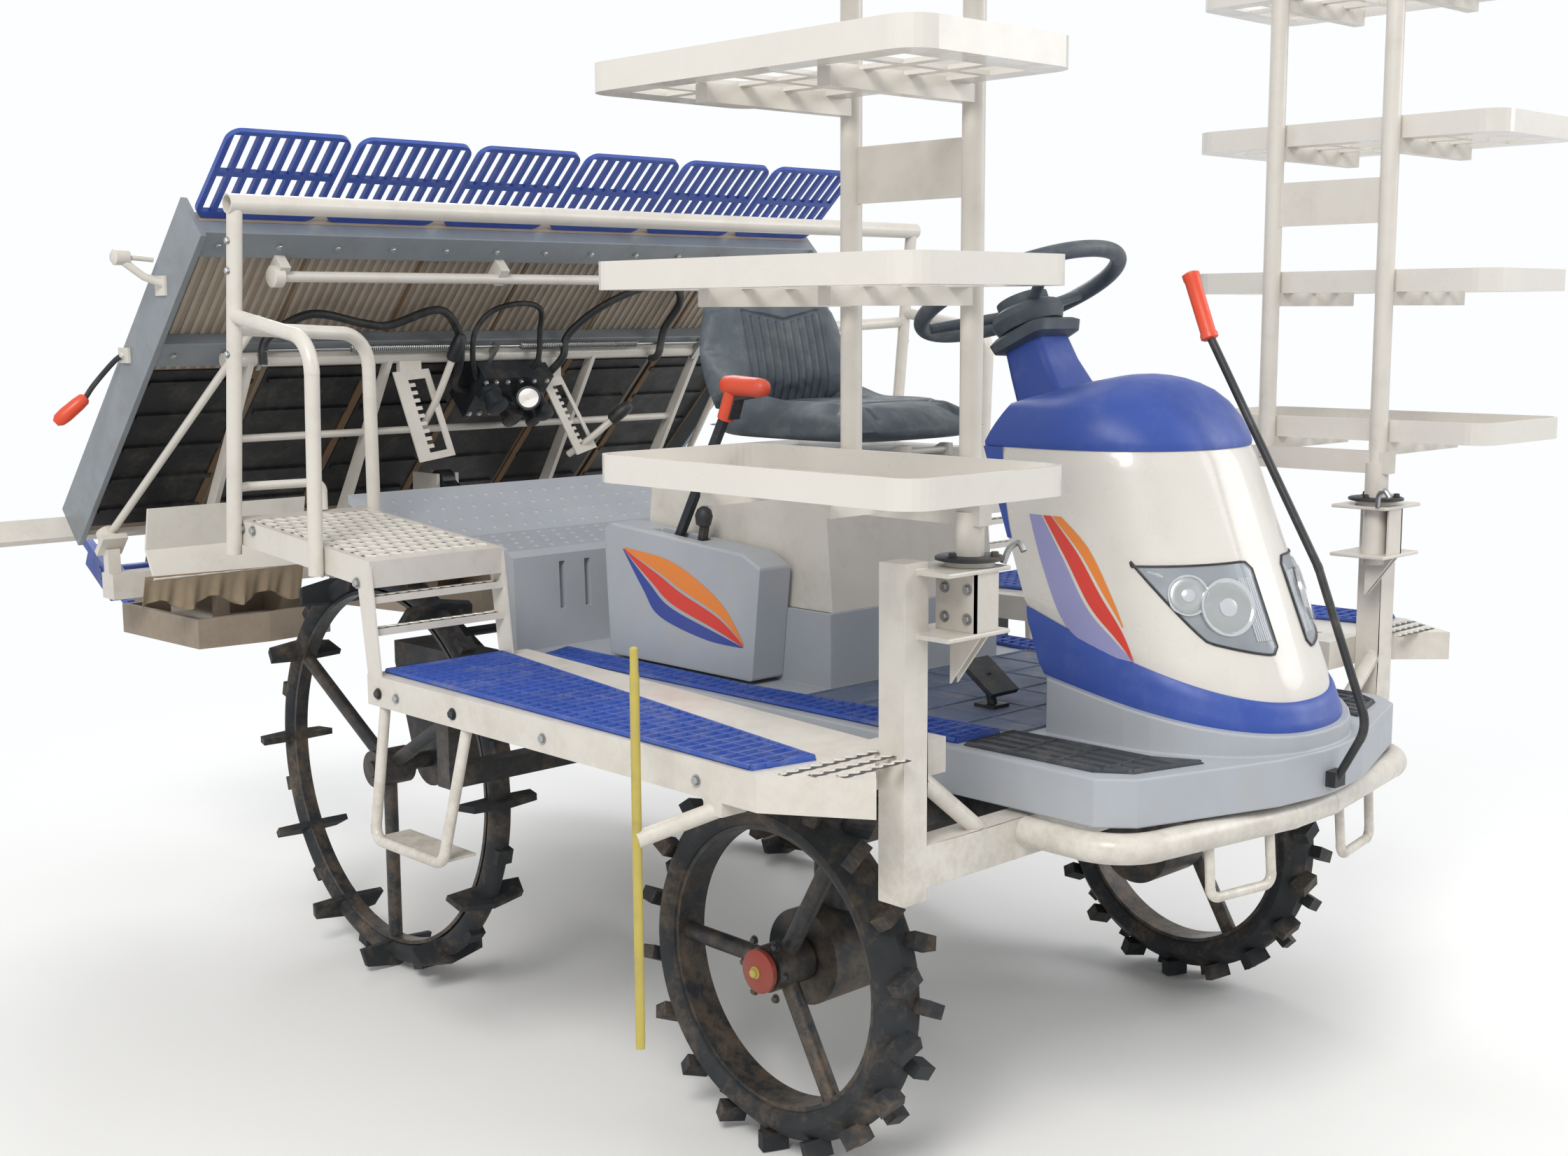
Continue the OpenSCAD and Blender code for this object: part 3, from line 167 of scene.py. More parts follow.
class Nodes:
    """A small helper that chains shader nodes for one material."""

    def __init__(self, name):
        self.m, self.nt, self.bsdf = tree_of(name)
        self.coord = add_node(self.nt, "TexCoord", "Object", {}, {})

    def link(self, socket, key):
        self.nt.links.new(socket, self.bsdf.inputs[key])

    def noise(self, scale, detail=4.0, rough=0.6):
        values = {"Scale": scale, "Detail": detail, "Roughness": rough}
        return add_node(self.nt, "TexNoise", "Fac", values, {"Vector": self.coord})

    def span(self, value, lo, hi, a=0.0, b=1.0):
        limits = {"From Min": lo, "From Max": hi, "To Min": a, "To Max": b}
        return add_node(self.nt, "MapRange", "Result", limits, {"Value": value})

    def times(self, a, b):
        """The product of a socket and another socket or a number."""
        values, links = ({1: b}, {0: a}) if isinstance(b, float) else ({}, {0: a, 1: b})
        return add_node(self.nt, "Math", 0, values, links, operation="MULTIPLY")

    def mix(self, factor, a, b):
        """A colour from a to b, each a socket or a tuple; 6 and 7 are the node's colour inputs."""
        values = {i: v for i, v in ((6, a), (7, b)) if isinstance(v, tuple)}
        links = {i: v for i, v in ((0, factor), (6, a), (7, b)) if i not in values}
        return add_node(self.nt, "Mix", 2, values, links, data_type="RGBA")

    def height(self):
        return add_node(self.nt, "SeparateXYZ", 2, {}, {0: self.coord})

    def bump(self, value, strength, distance):
        values = {"Strength": strength, "Distance": distance}
        self.link(add_node(self.nt, "Bump", "Normal", values, {"Height": value}), "Normal")


def shade(color, k):
    return (color[0] * k, color[1] * k, color[2] * k, 1.0)


MUD = (122, 104, 84)
DUST = (176, 168, 156)
FILM = (0.35, 0.0, 0.04, 300, 0.03)

# Each finish: material name, colour, roughness, metal, colour variation, scale and strength of its bump.
# Then, where it has them: the dust's colour and share, the mud's full and last height in metres with its share,
# and a clear coat
FINISHES = {
    "cream": ("cream_paint", (214, 209, 200), 0.36, 0.0, 0.05, 90, 0.05, (170, 160, 146), 0.35,
              (0.30, 0.85, 0.45), 0.15),
    "panel": ("cream_panel", (216, 212, 205), 0.30, 0.0, 0.03, 300, 0.04, (188, 182, 170), 0.18, None, 0.3),
    "blue": ("blue_panel", (46, 76, 160), 0.42, 0.0, 0.10, 420, 0.10, (120, 132, 170), 0.30),
    "blue_mat": ("blue_mat", (50, 82, 165), 0.62, 0.0, 0.14, 500, 0.25, (140, 142, 156), 0.55),
    "grey": ("grey_panel", (170, 175, 182), 0.48, 0.0, 0.06, 600, 0.18, DUST, 0.4),
    "dark_mat": ("dark_mat", (62, 66, 72), 0.7, 0.0, 0.12, 500, 0.3, DUST, 0.35),
    "iron": ("black_iron", (40, 45, 50), 0.45, 0.25, 0.2, 140, 0.35, MUD, 0.55, (0.1, 0.75, 0.5)),
    "rubber": ("tyre_rubber", (34, 38, 42), 0.75, 0.0, 0.25, 120, 0.5, MUD, 0.8),
    "black": ("black_plastic", (28, 30, 33), 0.5, 0.0, 0.15, 400, 0.2, DUST, 0.15),
    "steel": ("zinc_steel", (170, 172, 172), 0.32, 0.9, 0.12, 220, 0.1, MUD, 0.2),
    "tan": ("tan_board", (156, 142, 126), 0.6, 0.0, 0.12, 240, 0.2, (120, 104, 88), 0.5),
    "table_grey": ("table_frame_grey", (140, 147, 153), 0.45, 0.3, 0.10, 160, 0.15, MUD, 0.35),
    "orange": ("orange_paint", (225, 78, 46), 0.4, 0.0, 0.08, 120, 0.1, DUST, 0.2),
    "red_cap": ("red_cap", (150, 62, 50), 0.5, 0.0, 0.15, 150, 0.2, MUD, 0.6),
    "yellow": ("yellow_pole", (186, 170, 84), 0.5, 0.0, 0.12, 160, 0.2, MUD, 0.4),
    "lavender": ("lavender_film", (150, 150, 196), *FILM),
    "stripe_red": ("red_film", (214, 60, 48), *FILM),
    "stripe_orange": ("orange_film", (228, 132, 54), *FILM),
    "stripe_blue": ("blue_film", (52, 70, 150), *FILM),
    "canvas": ("canvas", (150, 134, 112), 0.9, 0.0, 0.15, 900, 0.5, MUD, 0.6),
    "chrome": ("lamp_chrome", (205, 208, 212), 0.18, 0.85, 0.08, 60, 0.05),
    "lamp_grey": ("lamp_bowl_grey", (138, 144, 150), 0.30, 0.6, 0.20, 60, 0.05),
    "green": ("green_knob", (60, 140, 104), 0.45, 0.0, 0.08, 200, 0.1),
    "tan_light": ("pale_board", (176, 164, 148), 0.6, 0.0, 0.10, 240, 0.2, (130, 112, 94), 0.4),
    "joint_brown": ("joint_strip", (122, 96, 68), 0.6, 0.0, 0.12, 240, 0.2),
    "mid_mat": ("slate_mat", (92, 104, 128), 0.66, 0.0, 0.12, 500, 0.25, DUST, 0.5),
}


def finish_of(name, color, rough, metal, vary, grain, depth, dust=None, dust_share=0.0, mud=None, coat=0.0):
    """Paint, plastic, rubber or iron: soft colour variation, dust in patches, mud near the ground, fine bump."""
    n = Nodes(name)
    base = srgb(*color)
    tone = n.mix(n.span(n.noise(5.0, 5.0, 0.65), 0.3, 0.7), shade(base, 1.0 - vary), shade(base, 1.0 + vary * 0.5))
    if dust:
        spread = n.span(n.noise(11.0, 6.0, 0.7), 0.48, 0.72)
        patches = n.times(spread, n.span(n.noise(70.0, 3.0, 0.6), 0.35, 0.65, 0.4, 1.0))
        tone = n.mix(n.times(patches, dust_share), tone, srgb(*dust))
    if mud:
        z0, z1, share = mud
        low = n.span(n.height(), z0, z1, 1.0, 0.0)
        spots = n.times(low, n.span(n.noise(24.0, 6.0, 0.75), 0.42, 0.60))
        tone = n.mix(n.times(spots, share), tone, srgb(*MUD))
    n.link(tone, "Base Color")
    n.link(n.span(n.noise(18.0), 0.3, 0.7, max(0.05, rough - 0.08), min(1.0, rough + 0.10)), "Roughness")
    set_inputs(n.bsdf, {"Metallic": metal, "Coat Weight": coat})
    n.bump(n.noise(grain, 3.0), depth, 0.0006)
    return n.m


def vinyl():
    n = Nodes("slate_vinyl")
    grain = add_node(n.nt, "TexVoronoi", "Distance", {"Scale": 420.0}, {"Vector": n.coord})
    tone = n.mix(n.span(n.noise(9.0, 5.0), 0.3, 0.7), srgb(62, 72, 80), srgb(82, 92, 100))
    dusty = n.times(n.span(n.noise(16.0, 6.0, 0.7), 0.5, 0.75), 0.3)
    n.link(n.mix(dusty, tone, srgb(150, 146, 138)), "Base Color")
    n.link(n.span(n.noise(30.0), 0.3, 0.7, 0.42, 0.60), "Roughness")
    n.bump(grain, 0.25, 0.0008)
    return n.m


def glass():
    """A clear lamp cover: mostly see-through, with a hard gloss."""
    n = Nodes("lamp_glass")
    tone = n.mix(n.span(n.noise(14.0), 0.35, 0.65), srgb(205, 214, 220), srgb(236, 241, 244))
    n.link(tone, "Base Color")
    set_inputs(n.bsdf, {"Roughness": 0.05, "Alpha": 0.14, "Coat Weight": 1.0})
    n.bump(n.noise(60.0), 0.05, 0.001)
    return n.m


M = {key: finish_of(*row) for key, row in FINISHES.items()}
M["vinyl"] = vinyl()
M["lens"] = glass()

# The finish of the CAD nodes whose names start so
DRESS = {
    "iron": ("main_frame", "transmission", "engine_block", "front_axle", "rear_axle", "control_levers", "pedals",
             "knuckle_", "rim_", "lift_link", "planting_cases"),
    "grey": ("floor_cover", "rear_deck", "lever_box"),
    "cream": ("seat_box", "bumper", "side_steps", "platforms", "handrails", "rack_posts", "side_markers",
              "planter_frame", "mud_guards", "line_marker_", "rack_frame_"),
    "panel": ("hood_body", "rack_trays_"),
    "blue": ("hood_top", "hood_skirt", "planting_rotors", "table_racks"),
    "blue_mat": ("floor_mats", "step_mats"),
    "rubber": ("tyre_",),
    "black": ("centre_marker",),
    "vinyl": ("seat_cushion", "seat_back", "steering_wheel"),
    "lens": ("headlights",),
    "tan": ("floats", "seedling_table"),
    "table_grey": ("table_frame",),
}


for material, starts in DRESS.items():
    for name in NODES:
        if name.startswith(starts):
            if not NODES[name].material_slots:
                NODES[name].data.materials.append(M[material])
            for s in NODES[name].material_slots:
                s.material = M[material]


# Mesh building

def put(name, bm, material, smooth, body="chassis", replaces=()):
    """Turns a bmesh in the row frame into a finished piece that rides on a body; smooth is an angle in degrees."""
    bmesh.ops.recalc_face_normals(bm, faces=bm.faces)
    mesh = bpy.data.meshes.new(name)
    bm.to_mesh(mesh)
    bm.free()
    o = bpy.data.objects.new(name, mesh)
    bpy.context.scene.collection.objects.link(o)
    mesh.materials.append(M[material])
    if smooth:
        mesh.shade_smooth()
        mesh.set_sharp_from_angle(angle=math.radians(smooth))
    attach(o, body)
    if replaces:
        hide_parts(*replaces)
    return o


def fresh(count):
    return [bmesh.new() for _ in range(count)]


def add_quads(bm, rows, closed=False):
    """Faces between neighbouring rows of vertices; closed rows run round."""
    n = len(rows[0])
    for a, b in zip(rows, rows[1:]):
        for i in range(n if closed else n - 1):
            k = (i + 1) % n
            bm.faces.new((a[i], a[k], b[k], b[i]))


def add_grid(bm, rows):
    """An open sheet through rows of points."""
    add_quads(bm, [[bm.verts.new(p) for p in row] for row in rows])


def add_rings(bm, rings):
    """A closed form through rings of points, with both ends capped."""
    loops = [[bm.verts.new(p) for p in r] for r in rings]
    add_quads(bm, loops, True)
    bm.faces.new(list(reversed(loops[0])))
    bm.faces.new(loops[-1])


def add_box(bm, x0, x1, y0, y1, z0, z1, place=at):
    """A block between limits in millimetres, in the frame that place stands for."""
    corners = ((x0, y0), (x1, y0), (x1, y1), (x0, y1))
    add_rings(bm, [[place(x, y, z) for x, y in corners] for z in (z0, z1)])


def ring(centre, axis, r, n):
    """n points round an axis, r in metres."""
    a = Vector(axis).normalized()
    u = a.orthogonal().normalized()
    w = a.cross(u)
    angles = [2 * math.pi * i / n for i in range(n)]
    return [centre + (u * math.cos(t) + w * math.sin(t)) * r for t in angles]


def add_turned(bm, base, axis, profile, n):
    """A turned form: profile is (along, radius) pairs in millimetres from base along axis."""
    a = Vector(axis).normalized()
    add_rings(bm, [ring(base + a * (h * MM), a, r * MM, n) for h, r in profile])


def add_bolt(bm, p, axis, r, h):
    """A hexagon head on a washer."""
    washer = r * 1.35
    add_turned(bm, p, axis, [(-0.5, washer), (1.5, washer)], 16)
    add_turned(bm, p, axis, [(1.5, r), (h, r), (h + 1.2, r * 0.85)], 6)


def smooth_path(points, steps=6):
    """A Catmull-Rom curve through the points."""
    out = []
    for i in range(len(points) - 1):
        p0 = points[max(i - 1, 0)]
        p1, p2 = points[i], points[i + 1]
        p3 = points[min(i + 2, len(points) - 1)]
        for k in range(steps):
            t = k / steps
            out.append(0.5 * ((2 * p1) + (p2 - p0) * t + (2 * p0 - 5 * p1 + 4 * p2 - p3) * t * t
                              + (3 * p1 - p0 - 3 * p2 + p3) * t * t * t))
    out.append(points[-1].copy())
    return out


def add_tube(bm, path, r, n):
    """A round tube along a list of points in metres, r in millimetres."""
    angles = [2 * math.pi * k / n for k in range(n)]
    rings = []
    side = None
    for i, p in enumerate(path):
        d = (path[min(i + 1, len(path) - 1)] - path[max(i - 1, 0)]).normalized()
        side = d.orthogonal().normalized() if side is None else (side - d * side.dot(d)).normalized()
        w = d.cross(side)
        rings.append([p + (side * math.cos(t) + w * math.sin(t)) * (r * MM) for t in angles])
    add_rings(bm, rings)


# Hood: the source's sections, sampled finely

HOOD_LOW, HOOD_SPLIT, HOOD_TOP = 745.0, 1195.0, 1328.0
HOOD_NOSE, HOOD_REAR, HOOD_HALF = 655.0, 292.0, 236.0
# How far the nose, the rear edge and the half width draw in from the hood's foot to the split, and above it
HOOD_DRAW = (190, 172, 12)
COWL_DRAW = (75, -64, 100)
HOOD_FLANK = 90         # the straight length of each flank, behind the rounded nose
HOOD_ROUND = 0.88       # the power that fills out the nose's curve
HOOD_END = 1.3          # how far the skin runs to each rear edge; the nose's curve ends at 1
HOOD_COUNT = 72
HOOD_RUN = [HOOD_END * (2 * i / HOOD_COUNT - 1) for i in range(HOOD_COUNT + 1)]

# The blue band: the rise of its lower edge toward the rear, its width at the nose and how it widens
BAND_RISE, BAND_WIDTH, BAND_FLARE = 0.176, 39, 0.15

# The cowl: height of its shoulder, place of its crown, and the crown's height, where that is taken and its tilt
COWL_SHOULDER, COWL_MID_X = 1268.0, 255.0
COWL_TOP, COWL_TOP_X, COWL_TILT = 1296.0, 168.0, 0.19


def hood_section(z):
    """The x of the hood's nose and rear edge and its half width, at a height."""
    rise = (z - HOOD_LOW) / (HOOD_SPLIT - HOOD_LOW)
    above = max(0.0, (z - HOOD_SPLIT) / (HOOD_TOP - HOOD_SPLIT))
    nose = HOOD_NOSE - HOOD_DRAW[0] * rise - COWL_DRAW[0] * above ** 2
    rear = HOOD_REAR - HOOD_DRAW[1] * min(1.0, rise) - COWL_DRAW[1] * above
    half = HOOD_HALF - HOOD_DRAW[2] * rise - COWL_DRAW[2] * above ** 2
    return nose, rear, half


def hood_point(s, z, grow=0.0):
    """A point (x, y) of the hood's skin: s runs from the right rear edge, round the nose at 0, to the left one."""
    nose, rear, half = hood_section(z)
    mid = rear + HOOD_FLANK
    side = 1 if s >= 0 else -1
    t = min(abs(s), 1.0) * math.pi / 2
    x = mid + (nose + grow - mid) * max(0.0, math.cos(t)) ** HOOD_ROUND
    y = side * (half + grow) * math.sin(t) ** HOOD_ROUND
    if abs(s) > 1.0:
        x = mid - (HOOD_FLANK + grow) * (abs(s) - 1.0) / (HOOD_END - 1.0)
    return x, y


def on_hood(s, z, grow):
    """The same point, placed in the row frame."""
    return at(*hood_point(s, z, grow), z)


def band_low(x):
    return HOOD_LOW + (HOOD_NOSE - x) * BAND_RISE


def band_high(x):
    return band_low(x) + BAND_WIDTH + (HOOD_NOSE - x) * BAND_FLARE


def settle(s, edge, grow):
    """The height at which the skin at s meets an edge that is given over x."""
    z = HOOD_LOW + 30
    for _ in range(12):
        z = edge(hood_point(s, z, grow)[0])
    return z


def hood_skin(name, low, high, material, grow, levels, node):
    """A closed shell between two edges of the hood, drawn in at its rims; an edge is a height or a line over x."""
    rows = []
    for k in range(levels + 1):
        f = k / levels
        lip = 3.0 * (1 - min(1.0, min(f, 1 - f) * levels)) ** 2
        row = []
        for s in HOOD_RUN:
            z0, z1 = (settle(s, edge, grow) if callable(edge) else edge for edge in (low, high))
            row.append(on_hood(s, z0 + (z1 - z0) * f, grow - lip))
        rows.append(row)
    bm = bmesh.new()
    add_rings(bm, rows)
    put(name, bm, material, 35.0, replaces=(node,))


def cowl():
    """The blue cowl: the hood's sections, closed by a crowned top that rises toward the front."""
    levels, crown = 9, 7
    rows = []
    for k in range(levels + 1):
        z = HOOD_SPLIT + (COWL_SHOULDER - HOOD_SPLIT) * k / levels
        rows.append([Vector((*hood_point(s, z, 2.0 if k else -1.0), z)) for s in HOOD_RUN])
    last = rows[-1]
    mid = Vector((COWL_MID_X, 0.0, COWL_SHOULDER))
    for j in range(1, crown + 1):
        f = j / crown
        row = [mid + (p - mid) * (1 - f) for p in last]
        for q in row:
            top = COWL_TOP + (q.x - COWL_TOP_X) * COWL_TILT
            q.z = COWL_SHOULDER + (top - COWL_SHOULDER) * math.sin(f * math.pi / 2) ** 0.8
        rows.append(row)
    bm = bmesh.new()
    loops = [[bm.verts.new(at(*p)) for p in row] for row in rows[:-1]]
    add_quads(bm, loops, True)
    tip = bm.verts.new(at(*rows[-1][0]))
    rim = loops[-1]
    for a, b in zip(rim, rim[1:] + rim[:1]):
        bm.faces.new((a, b, tip))
    bm.faces.new(list(reversed(loops[0])))
    put("cowl_shell", bm, "blue", 50.0, replaces=("hood_top",))


def rear_trim():
    """The blue strip along each rear edge of the hood, wider toward the top."""
    bm = bmesh.new()
    for side, _ in SIDES:
        rows = []
        for i in range(17):
            f = i / 16
            width = 0.03 + 0.11 * f ** 1.5
            rows.append([on_hood(side * (HOOD_END - width * k / 4), 1040 + 155 * f, 1.4) for k in range(5)])
        add_grid(bm, rows)
    put("hood_rear_trim", bm, "blue", 50.0)


# Steering column and wheel boss

STEER_LEAN = math.radians(24)
STEER = at(12, 0, 1458)
STEER_UP = Vector((-math.sin(STEER_LEAN), 0, math.cos(STEER_LEAN)))
STEER_FWD = Vector((math.cos(STEER_LEAN), 0, math.sin(STEER_LEAN)))


def on_steering(x, y, d):
    return STEER + STEER_FWD * (x * MM) + Vector((0, y * MM, 0)) + STEER_UP * (d * MM)


def soft_rect(a, b, r):
    """A rectangle of half sizes a and b with corners of radius r."""
    steps = 5
    pts = []
    for cx, cy, start in ((a - r, b - r, 0), (-a + r, b - r, 90), (-a + r, -b + r, 180), (a - r, -b + r, 270)):
        for i in range(steps + 1):
            t = math.radians(start + 90 * i / steps)
            pts.append((cx + r * math.cos(t), cy + r * math.sin(t)))
    return pts


# Each section of the column: place along it, half sizes, corner radius and how far it is moved forward
COLUMN = (
    ("column_cover", "blue", ((-262, 60, 84, 16, 26), (-225, 52, 66, 16, 8), (-150, 46, 54, 16, 0),
                              (-84, 42, 48, 16, 0), (-76, 38, 44, 16, 0))),
    ("column_collar", "vinyl", ((-104, 46, 52, 16, 0), (-98, 60, 66, 20, 2), (-82, 66, 70, 24, 4),
                                (-76, 60, 64, 26, 4))),
)


def steering_column():
    for name, material, sections in COLUMN:
        bm = bmesh.new()
        add_rings(bm, [[on_steering(x + dx, y, d) for x, y in soft_rect(a, b, r)] for d, a, b, r, dx in sections])
        put(name, bm, material, 40.0)
    bm = bmesh.new()
    boss = [(0, 52), (2, 60), (22, 68), (36, 64), (46, 46), (50, 20)]
    add_turned(bm, on_steering(0, 0, -72), STEER_UP, boss, 40)
    put("wheel_boss", bm, "vinyl", 35.0, "steering")


# Seat pads

PAD_STEPS = 64          # the grid over a pad's face
PAD_RIM = 0.40          # the share of its thickness that a pad keeps at the rim
PAD_SWELL = 10.0        # the most that pressure moves a point, in millimetres
CLOTH_FRAMES = 20


def inflate(o, pinned):
    """Presses a closed pad outward as cloth under pressure, held at its back, and keeps the result."""
    mesh = o.data
    rest = [v.co.copy() for v in mesh.vertices]
    o.vertex_groups.new(name="held").add(pinned, 1.0, "REPLACE")
    mod = o.modifiers.new("cloth", "CLOTH")
    cloth = mod.settings
    cloth.vertex_group_mass = "held"
    cloth.mass = 0.3
    cloth.use_pressure = True
    cloth.uniform_pressure_force = 4.0
    cloth.effector_weights.gravity = 0.0
    mod.point_cache.frame_start = 1
    mod.point_cache.frame_end = CLOTH_FRAMES
    scene = bpy.context.scene
    for f in range(1, CLOTH_FRAMES + 1):
        scene.frame_set(f)
    graph = bpy.context.evaluated_depsgraph_get()
    swollen = o.evaluated_get(graph)
    result = [v.co.copy() for v in swollen.to_mesh().vertices]
    swollen.to_mesh_clear()
    o.modifiers.remove(mod)
    scene.frame_set(1)
    for v, r, p in zip(mesh.vertices, rest, result):
        d = p - r
        v.co = r + d * min(1.0, PAD_SWELL * MM / max(d.length, 1e-9))


def pad(name, centre, along, across, out, a, b, thick, node, rise, taper, grooves):
    """A stuffed pad: crowned face with wings, pulled-in sides and a closed back, swollen as cloth, then sewn.

    rise(u, v) adds height to the face, taper(u) narrows it, and grooves(u, v) is the depth of the sewn channels.
    """
    bm = bmesh.new()
    n = PAD_STEPS
    top, low = {}, {}
    for i in range(n + 1):
        for j in range(n + 1):
            u, v = -1 + 2 * i / n, -1 + 2 * j / n
            m = min(1.0, (abs(u) ** 7 + abs(v) ** 7) ** (1 / 7))
            edge = math.sqrt(max(0.0, 1 - m ** 5))
            h = thick * (PAD_RIM + (1 - PAD_RIM) * edge) + rise(u, v) * edge
            back = thick * PAD_RIM * (1 - math.sqrt(max(0.0, 1 - m ** 9)))
            p = centre + along * (a * u * math.sqrt(1 - 0.24 * v * v) * MM)
            p += across * (b * v * math.sqrt(1 - 0.16 * u * u) * taper(u) * MM)
            top[i, j] = bm.verts.new(p + out * (h * MM))
            border = i in (0, n) or j in (0, n)
            low[i, j] = top[i, j] if border else bm.verts.new(p + out * (back * MM))
    for i in range(n):
        for j in range(n):
            face = (top[i, j], top[i + 1, j], top[i + 1, j + 1], top[i, j + 1])
            under = (low[i, j], low[i, j + 1], low[i + 1, j + 1], low[i + 1, j])
            bm.faces.new(face)
            if set(under) - set(face):
                bm.faces.new(under)
    bm.verts.index_update()
    held = sorted({low[k].index for k in low} - {top[k].index for k in top})
    o = put(name, bm, "vinyl", 0.0, "seat", replaces=(node,))
    inflate(o, held)
    mod = o.modifiers.new("smooth", "SUBSURF")
    mod.levels = mod.render_levels = 1
    graph = bpy.context.evaluated_depsgraph_get()
    fine = bpy.data.meshes.new_from_object(o.evaluated_get(graph))
    o.modifiers.clear()
    o.vertex_groups.clear()
    o.data = fine
    for v in fine.vertices:
        q = v.co - centre
        u, w = q.dot(along) / (a * MM), q.dot(across) / (b * MM)
        if q.dot(out) > thick * 0.45 * MM:
            v.co -= out * (grooves(u, w) * MM)
    fine.shade_smooth()


def ease(x, lo, hi):
    t = max(0.0, min(1.0, (x - lo) / (hi - lo)))
    return t * t * (3 - 2 * t)


def seam(x, place, width=0.016):
    return math.exp(-((x - place) / width) ** 2)


def seat():
    channels = [-0.42 + 0.105 * k for k in range(9)]

    def cushion_rise(u, v):
        crown = 10 * (1 - u * u) * (1 - v * v)
        return crown + ease(abs(v), 0.50, 0.80) * (14 + 52 * ease(-u, 0.1, 1.0))

    def cushion_taper(u):
        return 1.0 - 0.06 * ease(u, 0.0, 1.0)

    def cushion_grooves(u, v):
        sewn = max(seam(v, c) for c in channels) * 6 * ease(0.42 - u, 0, 0.1)
        front = seam(u, 0.46, 0.022) * 6 * ease(0.60 - abs(v), 0, 0.06)
        sides = seam(abs(v), 0.54, 0.018) * 7 * ease(0.85 - u, 0, 0.1)
        return max(sewn * ease(0.5 - abs(v), 0, 0.03), front, sides)

    def back_rise(u, v):
        crown = 8 * (1 - u * u) * (1 - v * v)
        return crown + ease(abs(v), 0.48, 0.80) * (10 + 44 * ease(-u, -0.2, 1.0))

    def back_taper(u):
        return 1.0 - 0.10 * ease(u, -0.2, 1.0)

    def back_grooves(u, v):
        limit = 0.60 - 0.16 * (1 - min(1.0, abs(v) / 0.5))
        sewn = max(seam(v, c) for c in channels) * 6 * ease(limit - u, 0, 0.08)
        yoke = seam(u, limit, 0.024) * 6
        sides = seam(abs(v), 0.53, 0.018) * 6 * ease(limit - u, -0.02, 0.06)
        return max(sewn, yoke) * ease(0.55 - abs(v), 0, 0.03) + sides

    across = Vector((0, 1, 0))
    pad("seat_pad", at(-428, 0, 1176.5), Vector((1, 0, 0)), across, Vector((0, 0, 1)), 238, 214, 56,
        "seat_cushion", cushion_rise, cushion_taper, cushion_grooves)
    lean = math.radians(13)
    up = Vector((-math.sin(lean), 0, math.cos(lean)))
    front = Vector((math.cos(lean), 0, math.sin(lean)))
    pad("back_pad", at(-662, 0, 1340), up, across, front, 132, 210, 46,
        "seat_back", back_rise, back_taper, back_grooves)


# Mats

def spans(poly, axis, c):
    """Where the line axis = c runs inside a polygon."""
    hits = []
    for p, q in zip(poly, poly[1:] + poly[:1]):
        a, b = p[axis], q[axis]
        if (a <= c) != (b <= c):
            t = (c - a) / (b - a)
            hits.append(p[1 - axis] + (q[1 - axis] - p[1 - axis]) * t)
    hits.sort()
    return list(zip(hits[::2], hits[1::2]))


def ridge(bm, p, q, w, z0, z1):
    """A low rib of trapezoid section from p to q, left out where it would be very short."""
    d = Vector((q[0] - p[0], q[1] - p[1]))
    if d.length < 6:
        return
    d.normalize()
    section = ((-w, z0), (-w * 0.55, z1), (w * 0.55, z1), (w, z0))
    add_rings(bm, [[at(c[0] - d.y * k, c[1] + d.x * k, z) for k, z in section] for c in (p, q)])


def ribbed_mat(name, polys, z0, z1, material, step_x, step_y, rib=3.2, replaces=()):
    """A moulded mat: a base sheet with a grid of ribs and a border."""
    bm = bmesh.new()
    base = z0 + (z1 - z0) * 0.4
    foot = base - 0.4
    for poly in polys:
        add_rings(bm, [[at(x, y, z) for x, y in poly] for z in (z0 + 0.1, base)])
        for axis, step, wide, top in ((0, step_x, rib, z1), (1, step_y, rib * 0.8, z1 - 0.6)):
            reach = [p[axis] for p in poly]
            c = min(reach) + 5
            while c < max(reach) - 2:
                for a, b in spans(poly, axis, c):
                    ends = ((c, a + 2), (c, b - 2)) if axis == 0 else ((a + 2, c), (b - 2, c))
                    ridge(bm, *ends, wide, foot, top)
                c += step
        corners = [Vector(p) for p in poly]
        middle = sum(corners, Vector((0, 0))) / len(corners)
        inner = [v + (middle - v).normalized() * 5 for v in corners]
        for p, q in zip(inner, inner[1:] + inner[:1]):
            ridge(bm, p, q, rib * 1.2, foot, z1)
    put(name, bm, material, 0.0, replaces=replaces)


def mirrored(poly):
    return [(x, -y) for x, y in reversed(poly)]


def mats():
    side = [(225, 300), (225, 410), (-900, 425), (-930, 345), (-360, 345)]
    ribbed_mat("floor_mat_sides", [side, mirrored(side)], 715, 723, "blue_mat", 26, 34, replaces=("floor_mats",))
    nose = [(240, 285), (240, 412), (500, 408), (552, 372), (590, 240), (520, 275)]
    ribbed_mat("floor_mat_front", [nose, mirrored(nose)], 715, 721.5, "dark_mat", 88, 30, 2.6)
    middle = [(252, 284), (-225, 336), (-225, -336), (252, -284)]
    ribbed_mat("floor_mat_middle", [middle], 714.9, 719, "mid_mat", 120, 112, 3.0)
    step = [(-725, 915), (290, 935), (310, 825), (-725, 657)]
    ribbed_mat("step_mat_ribs", [step, mirrored(step)], 774, 782, "blue_mat", 26, 36, replaces=("step_mats",))


# Sheet-metal grip patterns

